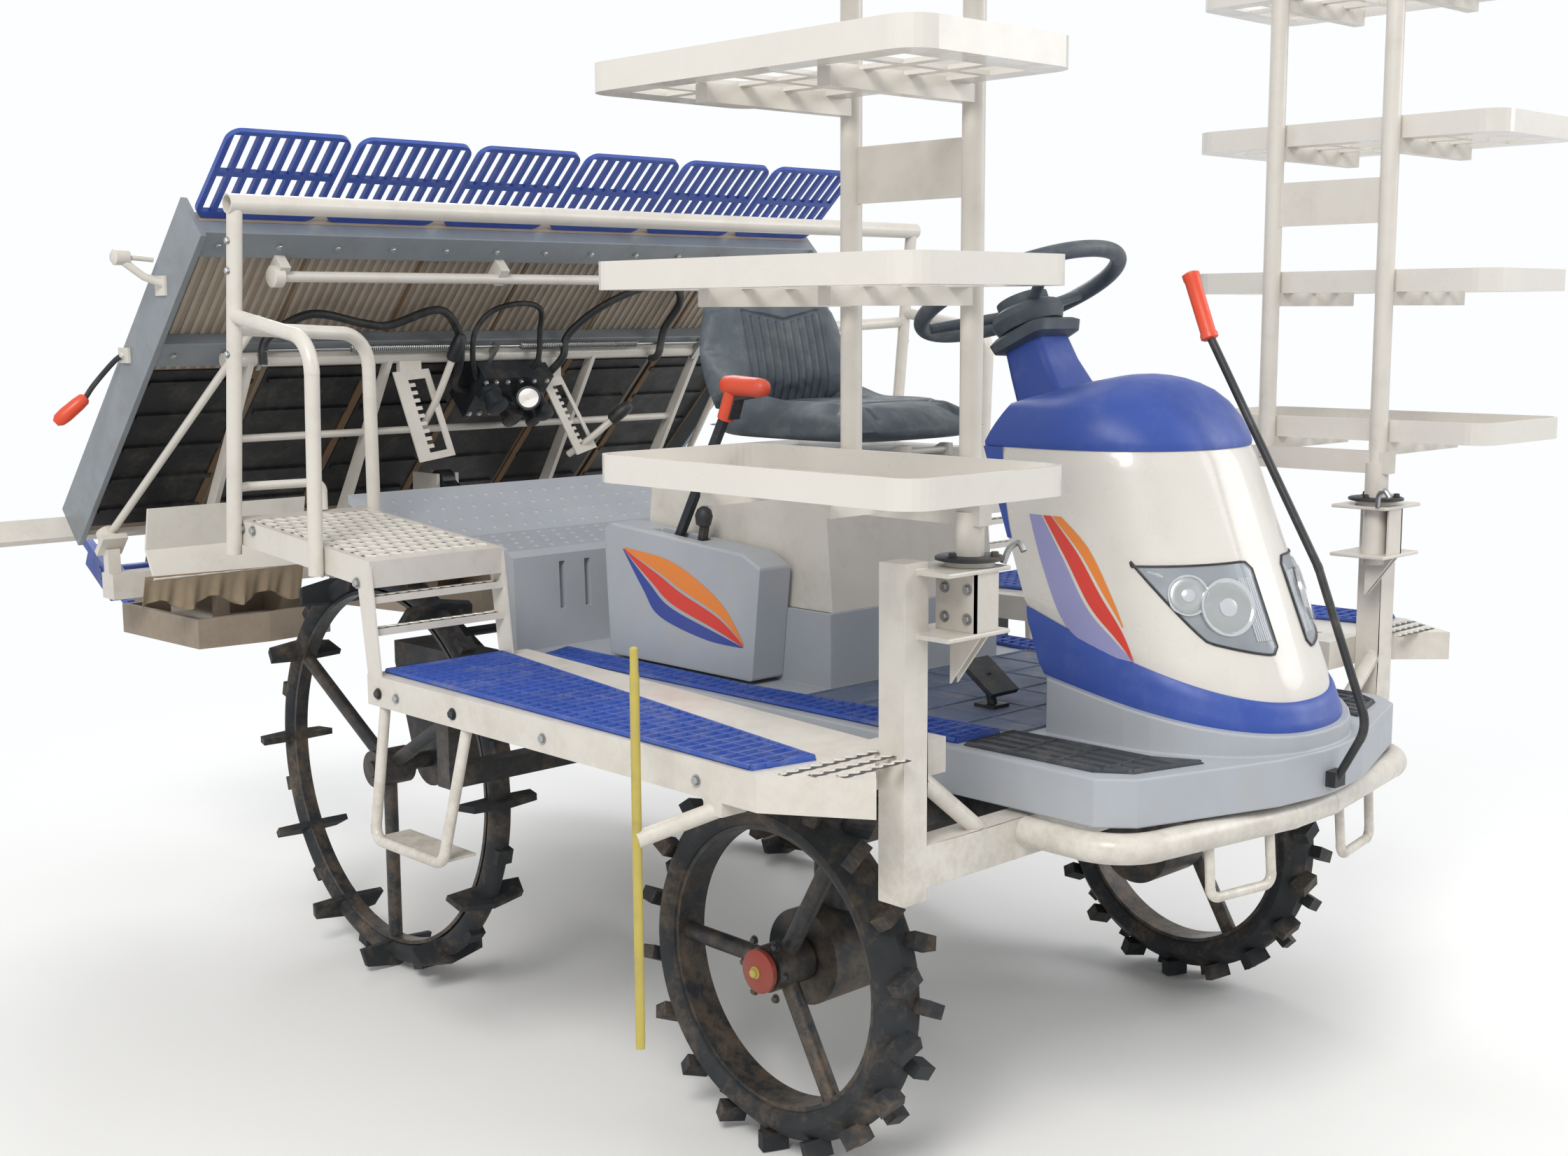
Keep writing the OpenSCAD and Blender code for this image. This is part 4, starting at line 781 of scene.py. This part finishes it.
def grip_rows(dark, lips, to_point, area, pitch, period, amp, width, high):
    """Rows of wavy slots with raised lips: to_point(u, v, lift) gives a point of the sheet, in millimetres. Each
    slot is a black sheet of painted shade, for the shadow seen through the opening.
    """
    u0, u1, v0, v1 = area
    count = max(4, int((v1 - v0) / period * 8))
    lip = ((0, 0.2), (1.5, high), (4.5, high * 0.8), (8, 0.2))
    for r in range(int((u1 - u0) / pitch)):
        u = u0 + pitch * (r + 0.5)
        wave = []
        for i in range(count + 1):
            v = v0 + (v1 - v0) * i / count
            wave.append((v, amp * abs(math.sin(math.pi * (v - v0) / period + (r % 2) * math.pi / 2))))
        far = u + width + amp * 0.65
        add_grid(dark, [[to_point(u + d, v, 0.5), to_point(far + d * 0.35, v, 0.5)] for v, d in wave])
        add_grid(lips, [[to_point(u + d - k, v, h) for k, h in lip] for v, d in wave])


def grip_plates():
    slope = math.atan(42 / 515)
    front_x, front_z = -715.0, 983.0
    for side, name in SIDES:
        def on_platform(u, v, lift):
            return at(front_x - u * math.cos(slope) + lift * math.sin(slope), side * v,
                      front_z + u * math.sin(slope) + lift * math.cos(slope))
        dark, lips = fresh(2)
        grip_rows(dark, lips, on_platform, (20, 500, 668, 930), 37, 27, 9, 9, 3.0)
        for row in range(3):
            def on_step(u, v, lift):
                return at(316 + 34 * row + u, side * v, 774 + lift)
            grip_rows(dark, lips, on_step, (0, 30, 712 + 8 * row, 922 - 26 * row), 30, 24, 8, 7, 2.6)
        for tread in (917, 857):
            def on_tread(u, v, lift):
                return at(-747 + u, side * v, tread + lift)
            grip_rows(dark, lips, on_tread, (2, 26, 662, 932), 24, 24, 7, 5, 2.4)
        # The slots' black sheets are painted shade
        put(f"grip_slots_painted_shade_{name}", dark, "black", 0.0)
        put(f"grip_lips_{name}", lips, "cream", 60.0)


# Coloured films, following the panel they lie on

def on_hood_side(x, z, side):
    lift = 0.9
    nose, rear, half = hood_section(z)
    mid = rear + HOOD_FLANK
    y = half + lift
    if x > mid:
        c = min(1.0, (x - mid) / (nose + lift - mid)) ** (1 / HOOD_ROUND)
        y *= math.sqrt(max(0.0, 1 - c * c)) ** HOOD_ROUND
    return at(x, side * y, z)


def on_lever_box(x, z, side):
    return at(x, side * 330.7, z)


def film(name, left, right, bands, place, sides):
    """Stripes between two edge curves. A band is (material, edges at its start, edges at its end, its reach)."""
    left_curve, right_curve = (smooth_path([Vector((x, z, 0)) for x, z in edge], 10) for edge in (left, right))

    def sample(curve, t):
        k = min(len(curve) - 2, int(t * (len(curve) - 1)))
        f = t * (len(curve) - 1) - k
        return curve[k] + (curve[k + 1] - curve[k]) * f

    for i, (material, start, end, reach) in enumerate(bands):
        bm = bmesh.new()
        for side in sides:
            rows = []
            for k in range(33):
                p, q = (sample(curve, reach * k / 32) for curve in (left_curve, right_curve))
                low, high = (a + (b - a) * k / 32 for a, b in zip(start, end))
                points = [p + (q - p) * (low + (high - low) * m / 4) for m in range(5)]
                rows.append([place(v.x, v.y, side) for v in points])
            add_grid(bm, rows)
        put(f"{name}_{i}", bm, material, 60.0)


def films():
    film("hood_film", [(222, 1084), (252, 1000), (303, 905), (372, 868), (436, 856)],
         [(290, 1084), (345, 1035), (392, 960), (420, 905), (440, 856)],
         [("lavender", (0.02, 0.40), (0.02, 0.66), 0.99), ("stripe_red", (0.45, 0.70), (0.74, 0.99), 0.99),
          ("stripe_orange", (0.74, 1.0), (0.97, 1.0), 0.72)],
         on_hood_side, (-1, 1))
    film("lever_film", [(-752, 946), (-690, 868), (-640, 818), (-500, 788), (-385, 786)],
         [(-744, 950), (-614, 938), (-520, 905), (-440, 858), (-380, 786)],
         [("stripe_blue", (0.02, 0.22), (0.02, 0.34), 0.98), ("stripe_red", (0.28, 0.50), (0.42, 0.74), 0.97),
          ("stripe_orange", (0.55, 1.0), (0.80, 1.0), 0.96)],
         on_lever_box, (-1,))


# Lamps

# Where a lamp starts along the hood's run, and how far it reaches
LAMP_START, LAMP_RUN = 0.10, 0.58
LAMP_END = LAMP_START + LAMP_RUN


def lamp_edge(s, f):
    """The height in a lamp's outline at s, from its lower edge at f = 0 to its upper edge at 1."""
    a = abs(s)
    low = 866 + 26 * max(0.0, (a - LAMP_START) / 0.34) ** 1.3 + 100 * max(0.0, (a - 0.44) / 0.24) ** 1.2
    high = 1016 - 10 * (a - LAMP_START)
    corner = max(0.0, 1 - (a - LAMP_START) / 0.05)
    inset = 13 * (1 - math.sqrt(1 - min(1.0, corner) ** 2))
    return low + inset + (high - low - 2 * inset) * f


def lamp_rim():
    """The outline of a lamp as (s, height) pairs, all the way round."""
    across = [LAMP_START + LAMP_RUN * k / 20 for k in range(21)]
    up = [k / 6 for k in range(1, 7)]
    rim = [(s, lamp_edge(s, 0)) for s in across]
    rim += [(LAMP_END, lamp_edge(LAMP_END, f)) for f in up]
    rim += [(s, lamp_edge(s, 1)) for s in reversed(across[:-1])]
    return rim + [(LAMP_START, lamp_edge(LAMP_START, 1 - f)) for f in up]


def lamp_face(name, side, material, grow, crown, replaces):
    """A sheet over a lamp's outline, swollen by crown in its middle."""
    nu, nv = 26, 14
    rows = []
    for i in range(nu + 1):
        s = side * (LAMP_START + LAMP_RUN * i / nu)
        row = []
        for j in range(nv + 1):
            f = j / nv
            swell = crown * (1 - (2 * f - 1) ** 4) * (1 - (2 * i / nu - 1) ** 6)
            row.append(on_hood(s, lamp_edge(s, f), grow + swell))
        rows.append(row)
    bm = bmesh.new()
    add_grid(bm, rows)
    put(name, bm, material, 60.0, replaces=replaces)


def lamps():
    for side, name in SIDES:
        lamp_face(f"lamp_bowl_{name}", side, "lamp_grey", 0.6, 0.0, ())
        lamp_face(f"lamp_glass_{name}", side, "lens", 2.5, 7.0, ("headlights",))
        bezel, bright, painted_shade_dish = fresh(3)
        add_tube(bezel, [on_hood(side * s, z, 1.5) for s, z in lamp_rim()], 2.2, 8)
        put(f"lamp_bezel_{name}", bezel, "black", 60.0)
        for k in range(7):
            s = side * (0.125 + 0.012 * k)
            add_tube(bright, [on_hood(s, z, 1.8) for z in (890, 925, 960, 990)], 2.0, 6)
        for s, z, r in ((0.30, 946, 48), (0.47, 966, 34)):
            base = on_hood(side * s, z, 1.6)
            axis = on_hood(side * s, z, 20.0) - base + Vector((0, 0, 6 * MM))
            add_turned(bright, base, axis, [(-1, r), (4.5, r), (4.5, r * 0.92), (1.5, r * 0.84)], 32)
            add_turned(bright, base, axis, [(1.0, r * 0.34), (4.0, r * 0.32), (5.5, r * 0.2), (6.0, r * 0.06)], 20)
            # The dish ring in each reflector is darker steel: painted shade that gives the reflector its depth
            add_turned(painted_shade_dish, base, axis, [(1.4, r * 0.9), (3.2, r * 0.8), (2.6, r * 0.6), (2.0, r * 0.3)], 32)
        put(f"lamp_reflector_{name}", bright, "chrome", 35.0)
        put(f"lamp_painted_shade_dish_{name}", painted_shade_dish, "steel", 60.0)


# Seedling table and planter details

SLOPE = math.radians(44.8)
TABLE_UP = Vector((math.cos(SLOPE), 0, math.sin(SLOPE)))
TABLE_OUT = Vector((-math.sin(SLOPE), 0, math.cos(SLOPE)))
TABLE_TOP_X, TABLE_TOP_Z = -1462, 1638
UNDERSIDE = -26.1       # just off the underside of the table's board, in its own frame
RAIL_FACE = -60         # the face of the cross rails that carries the bolts
FEED_FACE = -150        # the face that carries the feed valves


def tp(x, y, z):
    """A point in the table's own frame: x up the slope from the top edge, z square to its face, in millimetres."""
    return at(TABLE_TOP_X, y, TABLE_TOP_Z) + TABLE_UP * (x * MM) + TABLE_OUT * (z * MM)


def table_box(bm, *limits):
    add_box(bm, *limits, place=tp)


def table_underside():
    ribs, joints, painted_shade_panels, bolts, bar = fresh(5)
    for i in range(74):
        y = -866 + 1732 * i / 73
        for x0, x1 in ((-329, -71), (-440, -401)):
            table_box(ribs, x0, x1, y - 5, y + 5, -28.5, UNDERSIDE)
    for y in (-600, -300, 0, 300, 600):
        table_box(joints, -985, -401, y - 9, y + 9, -33, UNDERSIDE)
        table_box(joints, -329, -71, y - 4, y + 4, -30, UNDERSIDE)
    # Black panels with strips under the lower half of the table: painted shade for the shadowed underside and the
    # dark mechanism in it
    for i in range(6):
        y0, y1 = -870 + 290 * i, -870 + 290 * (i + 1)
        table_box(painted_shade_panels, -980, -445, y0 + 8, y1 - 8, -30, UNDERSIDE)
        for x in range(-930, -380, 110):
            table_box(painted_shade_panels, x, x + 14, y0 + 20, y1 - 20, -36, -30.2)
    for y in range(-840, 850, 140):
        for x in (-35, -365):
            add_bolt(bolts, tp(x, y, RAIL_FACE), -TABLE_OUT, 6.5, 5)
    put("table_ribs", ribs, "tan_light", 0.0, "table")
    put("table_joints", joints, "joint_brown", 0.0, "table")
    put("table_painted_shade_panels", painted_shade_panels, "black", 0.0, "table")
    put("table_bolts", bolts, "steel", 30.0, "table")
    stay = -92
    add_tube(bar, [tp(stay, y, stay) for y in (-700, -300, 300, 840)], 12, 16)
    for y in (-700, 840):
        add_turned(bar, tp(stay, y - 14, stay), (0, 1, 0), [(0, 20), (3, 24), (25, 24), (28, 20)], 24)
    for y in (-690, -120, 460, 830):
        table_box(bar, -108, -60, y - 12, y + 12, -98, RAIL_FACE - 0.2)
    put("table_stay", bar, "cream", 40.0, "table")


def coil(bm, a, b, r, wire, turns):
    d = b - a
    axis = d.normalized()
    u = axis.orthogonal().normalized()
    w = axis.cross(u)
    steps = turns * 10
    path = []
    for i in range(steps + 1):
        t = 2 * math.pi * turns * i / steps
        path.append(a + d * (i / steps) + (u * math.cos(t) + w * math.sin(t)) * (r * MM))
    add_tube(bm, path, wire, 5)


def planter_springs():
    bm = bmesh.new()
    def on_shaft(y):
        return tp(-326, y, -86)
    coil(bm, on_shaft(-424), on_shaft(-90), 8, 1.8, 62)
    coil(bm, on_shaft(57), on_shaft(432), 8, 1.8, 70)
    for y0, y1 in ((-655, -420), (-92, 60), (430, 660)):
        add_tube(bm, [on_shaft(y) for y in (y0, (y0 + y1) / 2, y1)], 3.2, 8)
    for y in (-648, -20, 652):
        table_box(bm, -378, -316, y - 5, y + 5, -98, -78)
    put("planter_springs", bm, "steel", 50.0, "planter")


def hose(name, points, r):
    """A hose through (across, up the slope, out) points of the table's frame."""
    path = smooth_path([tp(x, y, z) for y, x, z in points], 7)
    bm = bmesh.new()
    add_tube(bm, path, r, 12)
    o = put(name, bm, "black", 60.0, "planter")


def hoses():
    hose("hose_long", [(-652, -345, -112), (-640, -300, -72), (-545, -243, -55), (-400, -272, -57),
                       (-327, -275, -60), (-212, -230, -55), (-140, -285, -72), (-126, -345, -112),
                       (-110, -425, -118), (-62, -450, -118)], 10.0)
    hose("hose_short", [(-60, -400, -125), (-90, -345, -112), (-88, -290, -72), (-55, -236, -55), (20, -212, -52),
                        (86, -228, -56), (106, -290, -74), (108, -345, -112), (100, -382, -118)], 7.0)
    hose("hose_loop", [(150, -420, -120), (184, -345, -112), (200, -305, -74), (270, -227, -55), (375, -158, -52),
                       (475, -146, -52), (530, -205, -56), (512, -286, -74), (500, -340, -112),
                       (498, -372, -100)], 10.0)


def valve_and_gauge():
    dark, bright, face = fresh(3)
    # Radius along a valve's height, both as shares
    valve = ((0, 1), (0.25, 1), (0.3, 0.8), (0.7, 0.8), (0.75, 0.95), (0.95, 0.95), (1, 0.6))
    for y, x, r, h in ((-28, -420, 30, 58), (38, -470, 26, 60), (110, -430, 24, 84), (118, -490, 20, 52)):
        add_turned(dark, tp(x, y, FEED_FACE - 0.2), -TABLE_OUT, [(h * k, r * q) for k, q in valve], 20)
    for y in (-50, -20, 15, 55, 95, 135):
        for x in (-388, -500):
            add_bolt(bright, tp(x, y, FEED_FACE), -TABLE_OUT, 5.5, 5)
    toward = Vector((0.74, -0.60, 0.30)).normalized()
    centre = tp(-400, 60, -196)
    bowl = [(-22, 20), (-18, 28), (-2, 30), (4, 30), (4.5, 26), (0.5, 25.5)]
    add_turned(dark, centre, toward, bowl, 32)
    add_turned(face, centre, toward, [(0.2, 25), (1.0, 25), (1.2, 4), (3.5, 3.5)], 32)
    add_tube(dark, [centre - toward * (20 * MM), tp(-424, 60, -176), tp(-436, 60, -149)], 7, 10)
    put("feed_valves", dark, "iron", 35.0, "planter")
    put("feed_bolts", bright, "steel", 30.0, "planter")
    put("gauge_face", face, "panel", 35.0, "planter")


QUADRANT_X = -1660
QUADRANT_THICK = 5.0
QUADRANT_HEAD = 1327    # the top of the plate that holds a quadrant


def quadrant(bm, grip, corners, lever):
    """A notched depth plate: two side strips, end strips and a row of teeth, with a hand lever through it."""
    a, b, c, d = [Vector(corner) for corner in corners]
    x = QUADRANT_X

    def strip(u0, u1, v0, v1):
        outline = ((u0, v0), (u1, v0), (u1, v1), (u0, v1))
        flat = [a * (1 - u) * (1 - v) + b * u * (1 - v) + c * u * v + d * (1 - u) * v for u, v in outline]
        add_rings(bm, [[at(x + dx, *q) for q in flat] for dx in (0, QUADRANT_THICK)])

    for limits in ((0, 0.34, 0, 1), (0.84, 1, 0, 1), (0.34, 0.84, 0, 0.10), (0.34, 0.84, 0.92, 1)):
        strip(*limits)
    for i in range(9):
        strip(0.34, 0.50, 0.14 + i * 0.086, 0.18 + i * 0.086)
    top = (a + b) / 2
    add_box(bm, x - 12, x + 4, top.x - 30, top.x + 30, top.y - 10, QUADRANT_HEAD)
    (y0, z0), (y1, z1) = lever
    path = [at(x - 40, y0, z0), at(x + 10, y0 + (y1 - y0) * 0.4, z0 + (z1 - z0) * 0.45), at(x + 45, y1, z1)]
    add_tube(bm, smooth_path(path), 9, 12)
    add_turned(grip, path[2], path[2] - path[1], [(-4, 11), (2, 16), (36, 17), (58, 15), (66, 8)], 18)


def quadrants():
    bm, grip = fresh(2)
    quadrant(bm, grip, [(-300, 1289), (-200, 1296), (-130, 1082), (-232, 1069)], ((-196, 1150), (-158, 1318)))
    quadrant(bm, grip, [(138, 1258), (200, 1266), (311, 1078), (246, 1061)], ((250, 1060), (330, 1150)))
    put("depth_quadrants", bm, "cream", 40.0, "planter")
    put("depth_grips", grip, "black", 40.0, "planter")


def flaps():
    """Canvas strips hung under the mud guards, in soft folds."""
    columns, steps, thick = 60, 10, 2.2
    inner, width = 520, 390
    for side, name in SIDES:
        rings = []
        for i in range(columns + 1):
            y = inner + width * i / columns
            fold = 9 * math.sin(i * 0.62) + 5 * math.sin(i * 1.37 + 1)
            drop = 72 + 14 * math.sin(i * 0.31 + 0.6)
            run = []
            for k in range(steps + 1):
                f = k / steps
                run.append((-1724 - 26 * f + fold * f, 842 + (y - inner) * 0.02 - drop * f))
            front = [at(x, side * y, z) for x, z in run]
            back = [at(x - thick, side * y, z) for x, z in reversed(run)]
            rings.append(front + back)
        bm = bmesh.new()
        add_rings(bm, rings)
        o = put(f"mud_flap_{name}", bm, "canvas", 60.0, "planter")


def edge_lever():
    rod, grip, bracket = fresh(3)
    bend = [at(-1800, -890, 1340), at(-1820, -906, 1330), at(-1868, -938, 1275), at(-1886, -956, 1240)]
    add_tube(rod, smooth_path(bend), 6, 10)
    add_turned(grip, at(-1884, -952, 1246), (-0.25, -0.72, -0.64),
               [(0, 9), (6, 14), (24, 16), (60, 17), (78, 15), (88, 8)], 20)
    add_box(bracket, -1826, -1776, -898, -892.2, 1322, 1356)
    add_bolt(bracket, at(-1800, -898, 1340), (0, -1, 0), 7, 6)
    add_tube(bracket, [at(-1590, -886, 1490), at(-1605, -930, 1508), at(-1620, -975, 1545)], 9, 12)
    add_turned(bracket, at(-1620, -955, 1548), (0, -1, 0), [(0, 14), (3, 17), (32, 17), (36, 12)], 20)
    add_tube(bracket, [at(-1612, -905, 1544), at(-1616, -940, 1547), at(-1620, -985, 1549)], 6, 10)
    add_box(bracket, -1625, -1580, -898, -892.2, 1468, 1510)
    put("edge_lever_rod", rod, "iron", 50.0, "table")
    put("edge_lever_grip", grip, "orange", 50.0, "table")
    put("edge_bracket", bracket, "cream", 40.0, "table")


# Hand controls and markers

LEVER_Y = -289.0        # the two hand levers beside the seat


def hand_pieces():
    """Grips and knobs of the levers, the gauge rods' poles and the centre marker's sleeve."""
    bm = bmesh.new()
    add_tube(bm, smooth_path([at(x, LEVER_Y, z) for x, z in ((-479, 1222), (-466, 1252), (-456, 1278))]), 16.5, 16)
    head = [(-482, 13), (-474, 19), (-450, 21), (-410, 19.5), (-382, 19), (-366, 15), (-360, 8)]
    add_rings(bm, [ring(at(x, LEVER_Y, 1287 + (x + 482) * -0.03), (1, 0, 0), r * MM, 18) for x, r in head])
    put("lever_grip", bm, "orange", 60.0)
    knob = [(0, 8), (4, 15), (22, 18), (34, 14), (40, 6)]
    button = [(0, 6), (14, 6), (16, 11), (26, 12), (32, 8)]
    pole = [(0, 6.6), (10, 7.2), (560, 7.2), (566, 6.2), (600, 6.2), (602, 4)]
    sleeve = [(-14, 10), (-11, 15), (-4, 15), (0, 13.2), (90, 13.6), (96, 15), (104, 15), (107, 9)]
    for name, place, axis, profile, n, material, smooth in (
            ("short_lever_knob", (-548, LEVER_Y, 1006), (0.12, 0, 1), knob, 20, "black", 50.0),
            ("riser_knob", (-980, -150, 806), (1, 0, 0), button, 18, "green", 50.0),
            ("marker_pole_right", (160, -1043, 350), (0, 0, 1), pole, 14, "yellow", 40.0),
            ("marker_pole_left", (160, 1043, 350), (0, 0, 1), pole, 14, "yellow", 40.0),
            ("centre_sleeve", (418, 0, 1389), (-38, 0, 98), sleeve, 20, "orange", 40.0)):
        bm = bmesh.new()
        add_turned(bm, at(*place), axis, profile, n)
        put(name, bm, material, smooth)


def rack_brackets():
    gusset = ((394.2, 948.8), (452, 948.8), (394.2, 872))
    pivot_x, pivot_y = 412, 604
    for side, name in SIDES:
        plates, disc, bolts = fresh(3)
        for x0, y0 in ((374, 632), (448, 584)):
            add_box(plates, x0, 452, *sorted((side * y0, side * 636)), 956.2, 1043.8)
        for y in (606, 622):
            add_rings(plates, [[at(x, side * far, z) for x, z in gusset] for far in (y, y + 4)])
        add_turned(disc, at(pivot_x, side * pivot_y, 1059.5), (0, 0, 1),
                   [(0, 48), (1, 52), (5, 52), (6.5, 49), (6.8, 24)], 40)
        for i in range(3):
            t = 2.1 * i + 0.5
            place = at(pivot_x + 38 * math.cos(t), side * pivot_y + 38 * math.sin(t), 1066)
            add_bolt(disc, place, (0, 0, 1), 6, 6)
        hook = ((440, 560, 1052), (446, 552, 1075), (460, 548, 1084), (470, 548, 1072))
        add_tube(bolts, smooth_path([at(x, side * y, z) for x, y, z in hook]), 5, 10)
        for x, z in ((392, 1020), (436, 1020), (392, 976), (436, 976)):
            add_bolt(bolts, at(x, side * 636, z), (0, side, 0), 6.5, 5)
        put(f"rack_cheek_{name}", plates, "cream", 35.0)
        put(f"rack_disc_{name}", disc, "iron", 35.0, f"rack_{name}")
        put(f"rack_bolts_{name}", bolts, "steel", 35.0)


# Fasteners

# The rear rail's posts: foot and head of the left one's axis, and its radius
POST_FOOT = (-1200, 960.3, 955)
POST_HEAD = (-1131, 960.3, 1635)
POST_R = 15
STEP_SIDE = 945         # the outer face of the steps


def fasteners():
    bright, dark = fresh(2)
    for side, _ in SIDES:
        out = (0, side, 0)
        for z in (1567, 1510, 1350):
            t = (z - POST_FOOT[2]) / (POST_HEAD[2] - POST_FOOT[2])
            x, y = (low + (high - low) * t for low, high in zip(POST_FOOT[:2], POST_HEAD[:2]))
            add_bolt(bright, at(x, side * (y + POST_R - 1.5), z), out, 6, 5)
        for x, z in ((-1189, 1005), (-1146, 1004), (-884, 948), (-760, 940)):
            add_bolt(bright, at(x, side * STEP_SIDE, z), out, 8, 6)
        for x in (-640, -200, 180):
            add_bolt(bright, at(x, side * STEP_SIDE, 742), out, 7, 5)
        for x in (-700, -460):
            add_bolt(dark, at(x, side * STEP_SIDE, 742), out, 8, 6)
    put("step_bolts", bright, "steel", 30.0)
    put("stirrup_bolts", dark, "iron", 30.0)


def deck_dimples():
    """Domes on the rear deck: four rows on its flat part and four on the slope behind."""
    bm = bmesh.new()
    dome = [(-0.4, 7.5), (2.6 * 0.7, 7.5 * 0.7), (2.6, 7.5 * 0.25)]
    slope = math.atan(93 / 180)
    # First row, distance of rows, front edge of the part, its height there, its rise, domes in a row, first dome
    parts = ((-1040, 44, -1010, 926, 16 / 190, 21, -410, (0.084, 0, 0.996)),
             (-1222, 40, -1200, 942, 93 / 180, 28, -554, (math.sin(slope), 0, math.cos(slope))))
    for first_x, pitch, edge_x, edge_z, rise, count, first_y, normal in parts:
        for r in range(4):
            x = first_x - pitch * r
            z = edge_z + (edge_x - x) * rise
            for i in range(count):
                add_turned(bm, at(x, first_y + 41 * i + (r % 2) * 20 - 10, z), normal, dome, 10)
    put("deck_dimples", bm, "grey", 60.0)


def hubs():
    hub_z = 325
    for side, name in SIDES:
        red, yellow, bolts = fresh(3)
        out = (0, side, 0)
        add_turned(red, at(0, side * 650, hub_z), out, [(-6, 34), (0, 38), (8, 38), (12, 32), (14, 14)], 28)
        add_bolt(yellow, at(0, side * 663.5, hub_z), out, 8, 7)
        for i in range(6):
            t = math.pi / 3 * i
            add_bolt(bolts, at(52 * math.cos(t), side * 640, hub_z + 52 * math.sin(t)), out, 6, 6)
        put(f"hub_cap_{name}", red, "red_cap", 40.0, f"wheel_front_{name}")
        put(f"hub_bolt_{name}", yellow, "yellow", 30.0, f"wheel_front_{name}")
        put(f"hub_ring_{name}", bolts, "iron", 30.0, f"wheel_front_{name}")


def soften(names, width, segments):
    """A rounded edge on plain CAD panels, by modifiers only; width in millimetres."""
    for name in names:
        o = NODES[name]
        w = o.modifiers.new("weld", "WELD")
        w.merge_threshold = 0.00005
        b = o.modifiers.new("edge", "BEVEL")
        b.width = width * MM
        b.segments = segments
        b.limit_method = "ANGLE"
        b.angle_limit = math.radians(50)


hood_skin("hood_shell", band_high, HOOD_SPLIT, "panel", 0.0, 22, "hood_body")
hood_skin("hood_band", band_low, band_high, "blue", 3.0, 6, "hood_skirt")
cowl()
steering_column()
rear_trim()
seat()
mats()
grip_plates()
films()
lamps()
table_underside()
planter_springs()
hoses()
valve_and_gauge()
quadrants()
flaps()
edge_lever()
hand_pieces()
rack_brackets()
fasteners()
deck_dimples()
hubs()
soften(("floor_cover", "rear_deck", "lever_box", "seat_box"), 5.0, 3)
soften(("table_frame", "rack_posts", "mud_guards"), 2.0, 2)
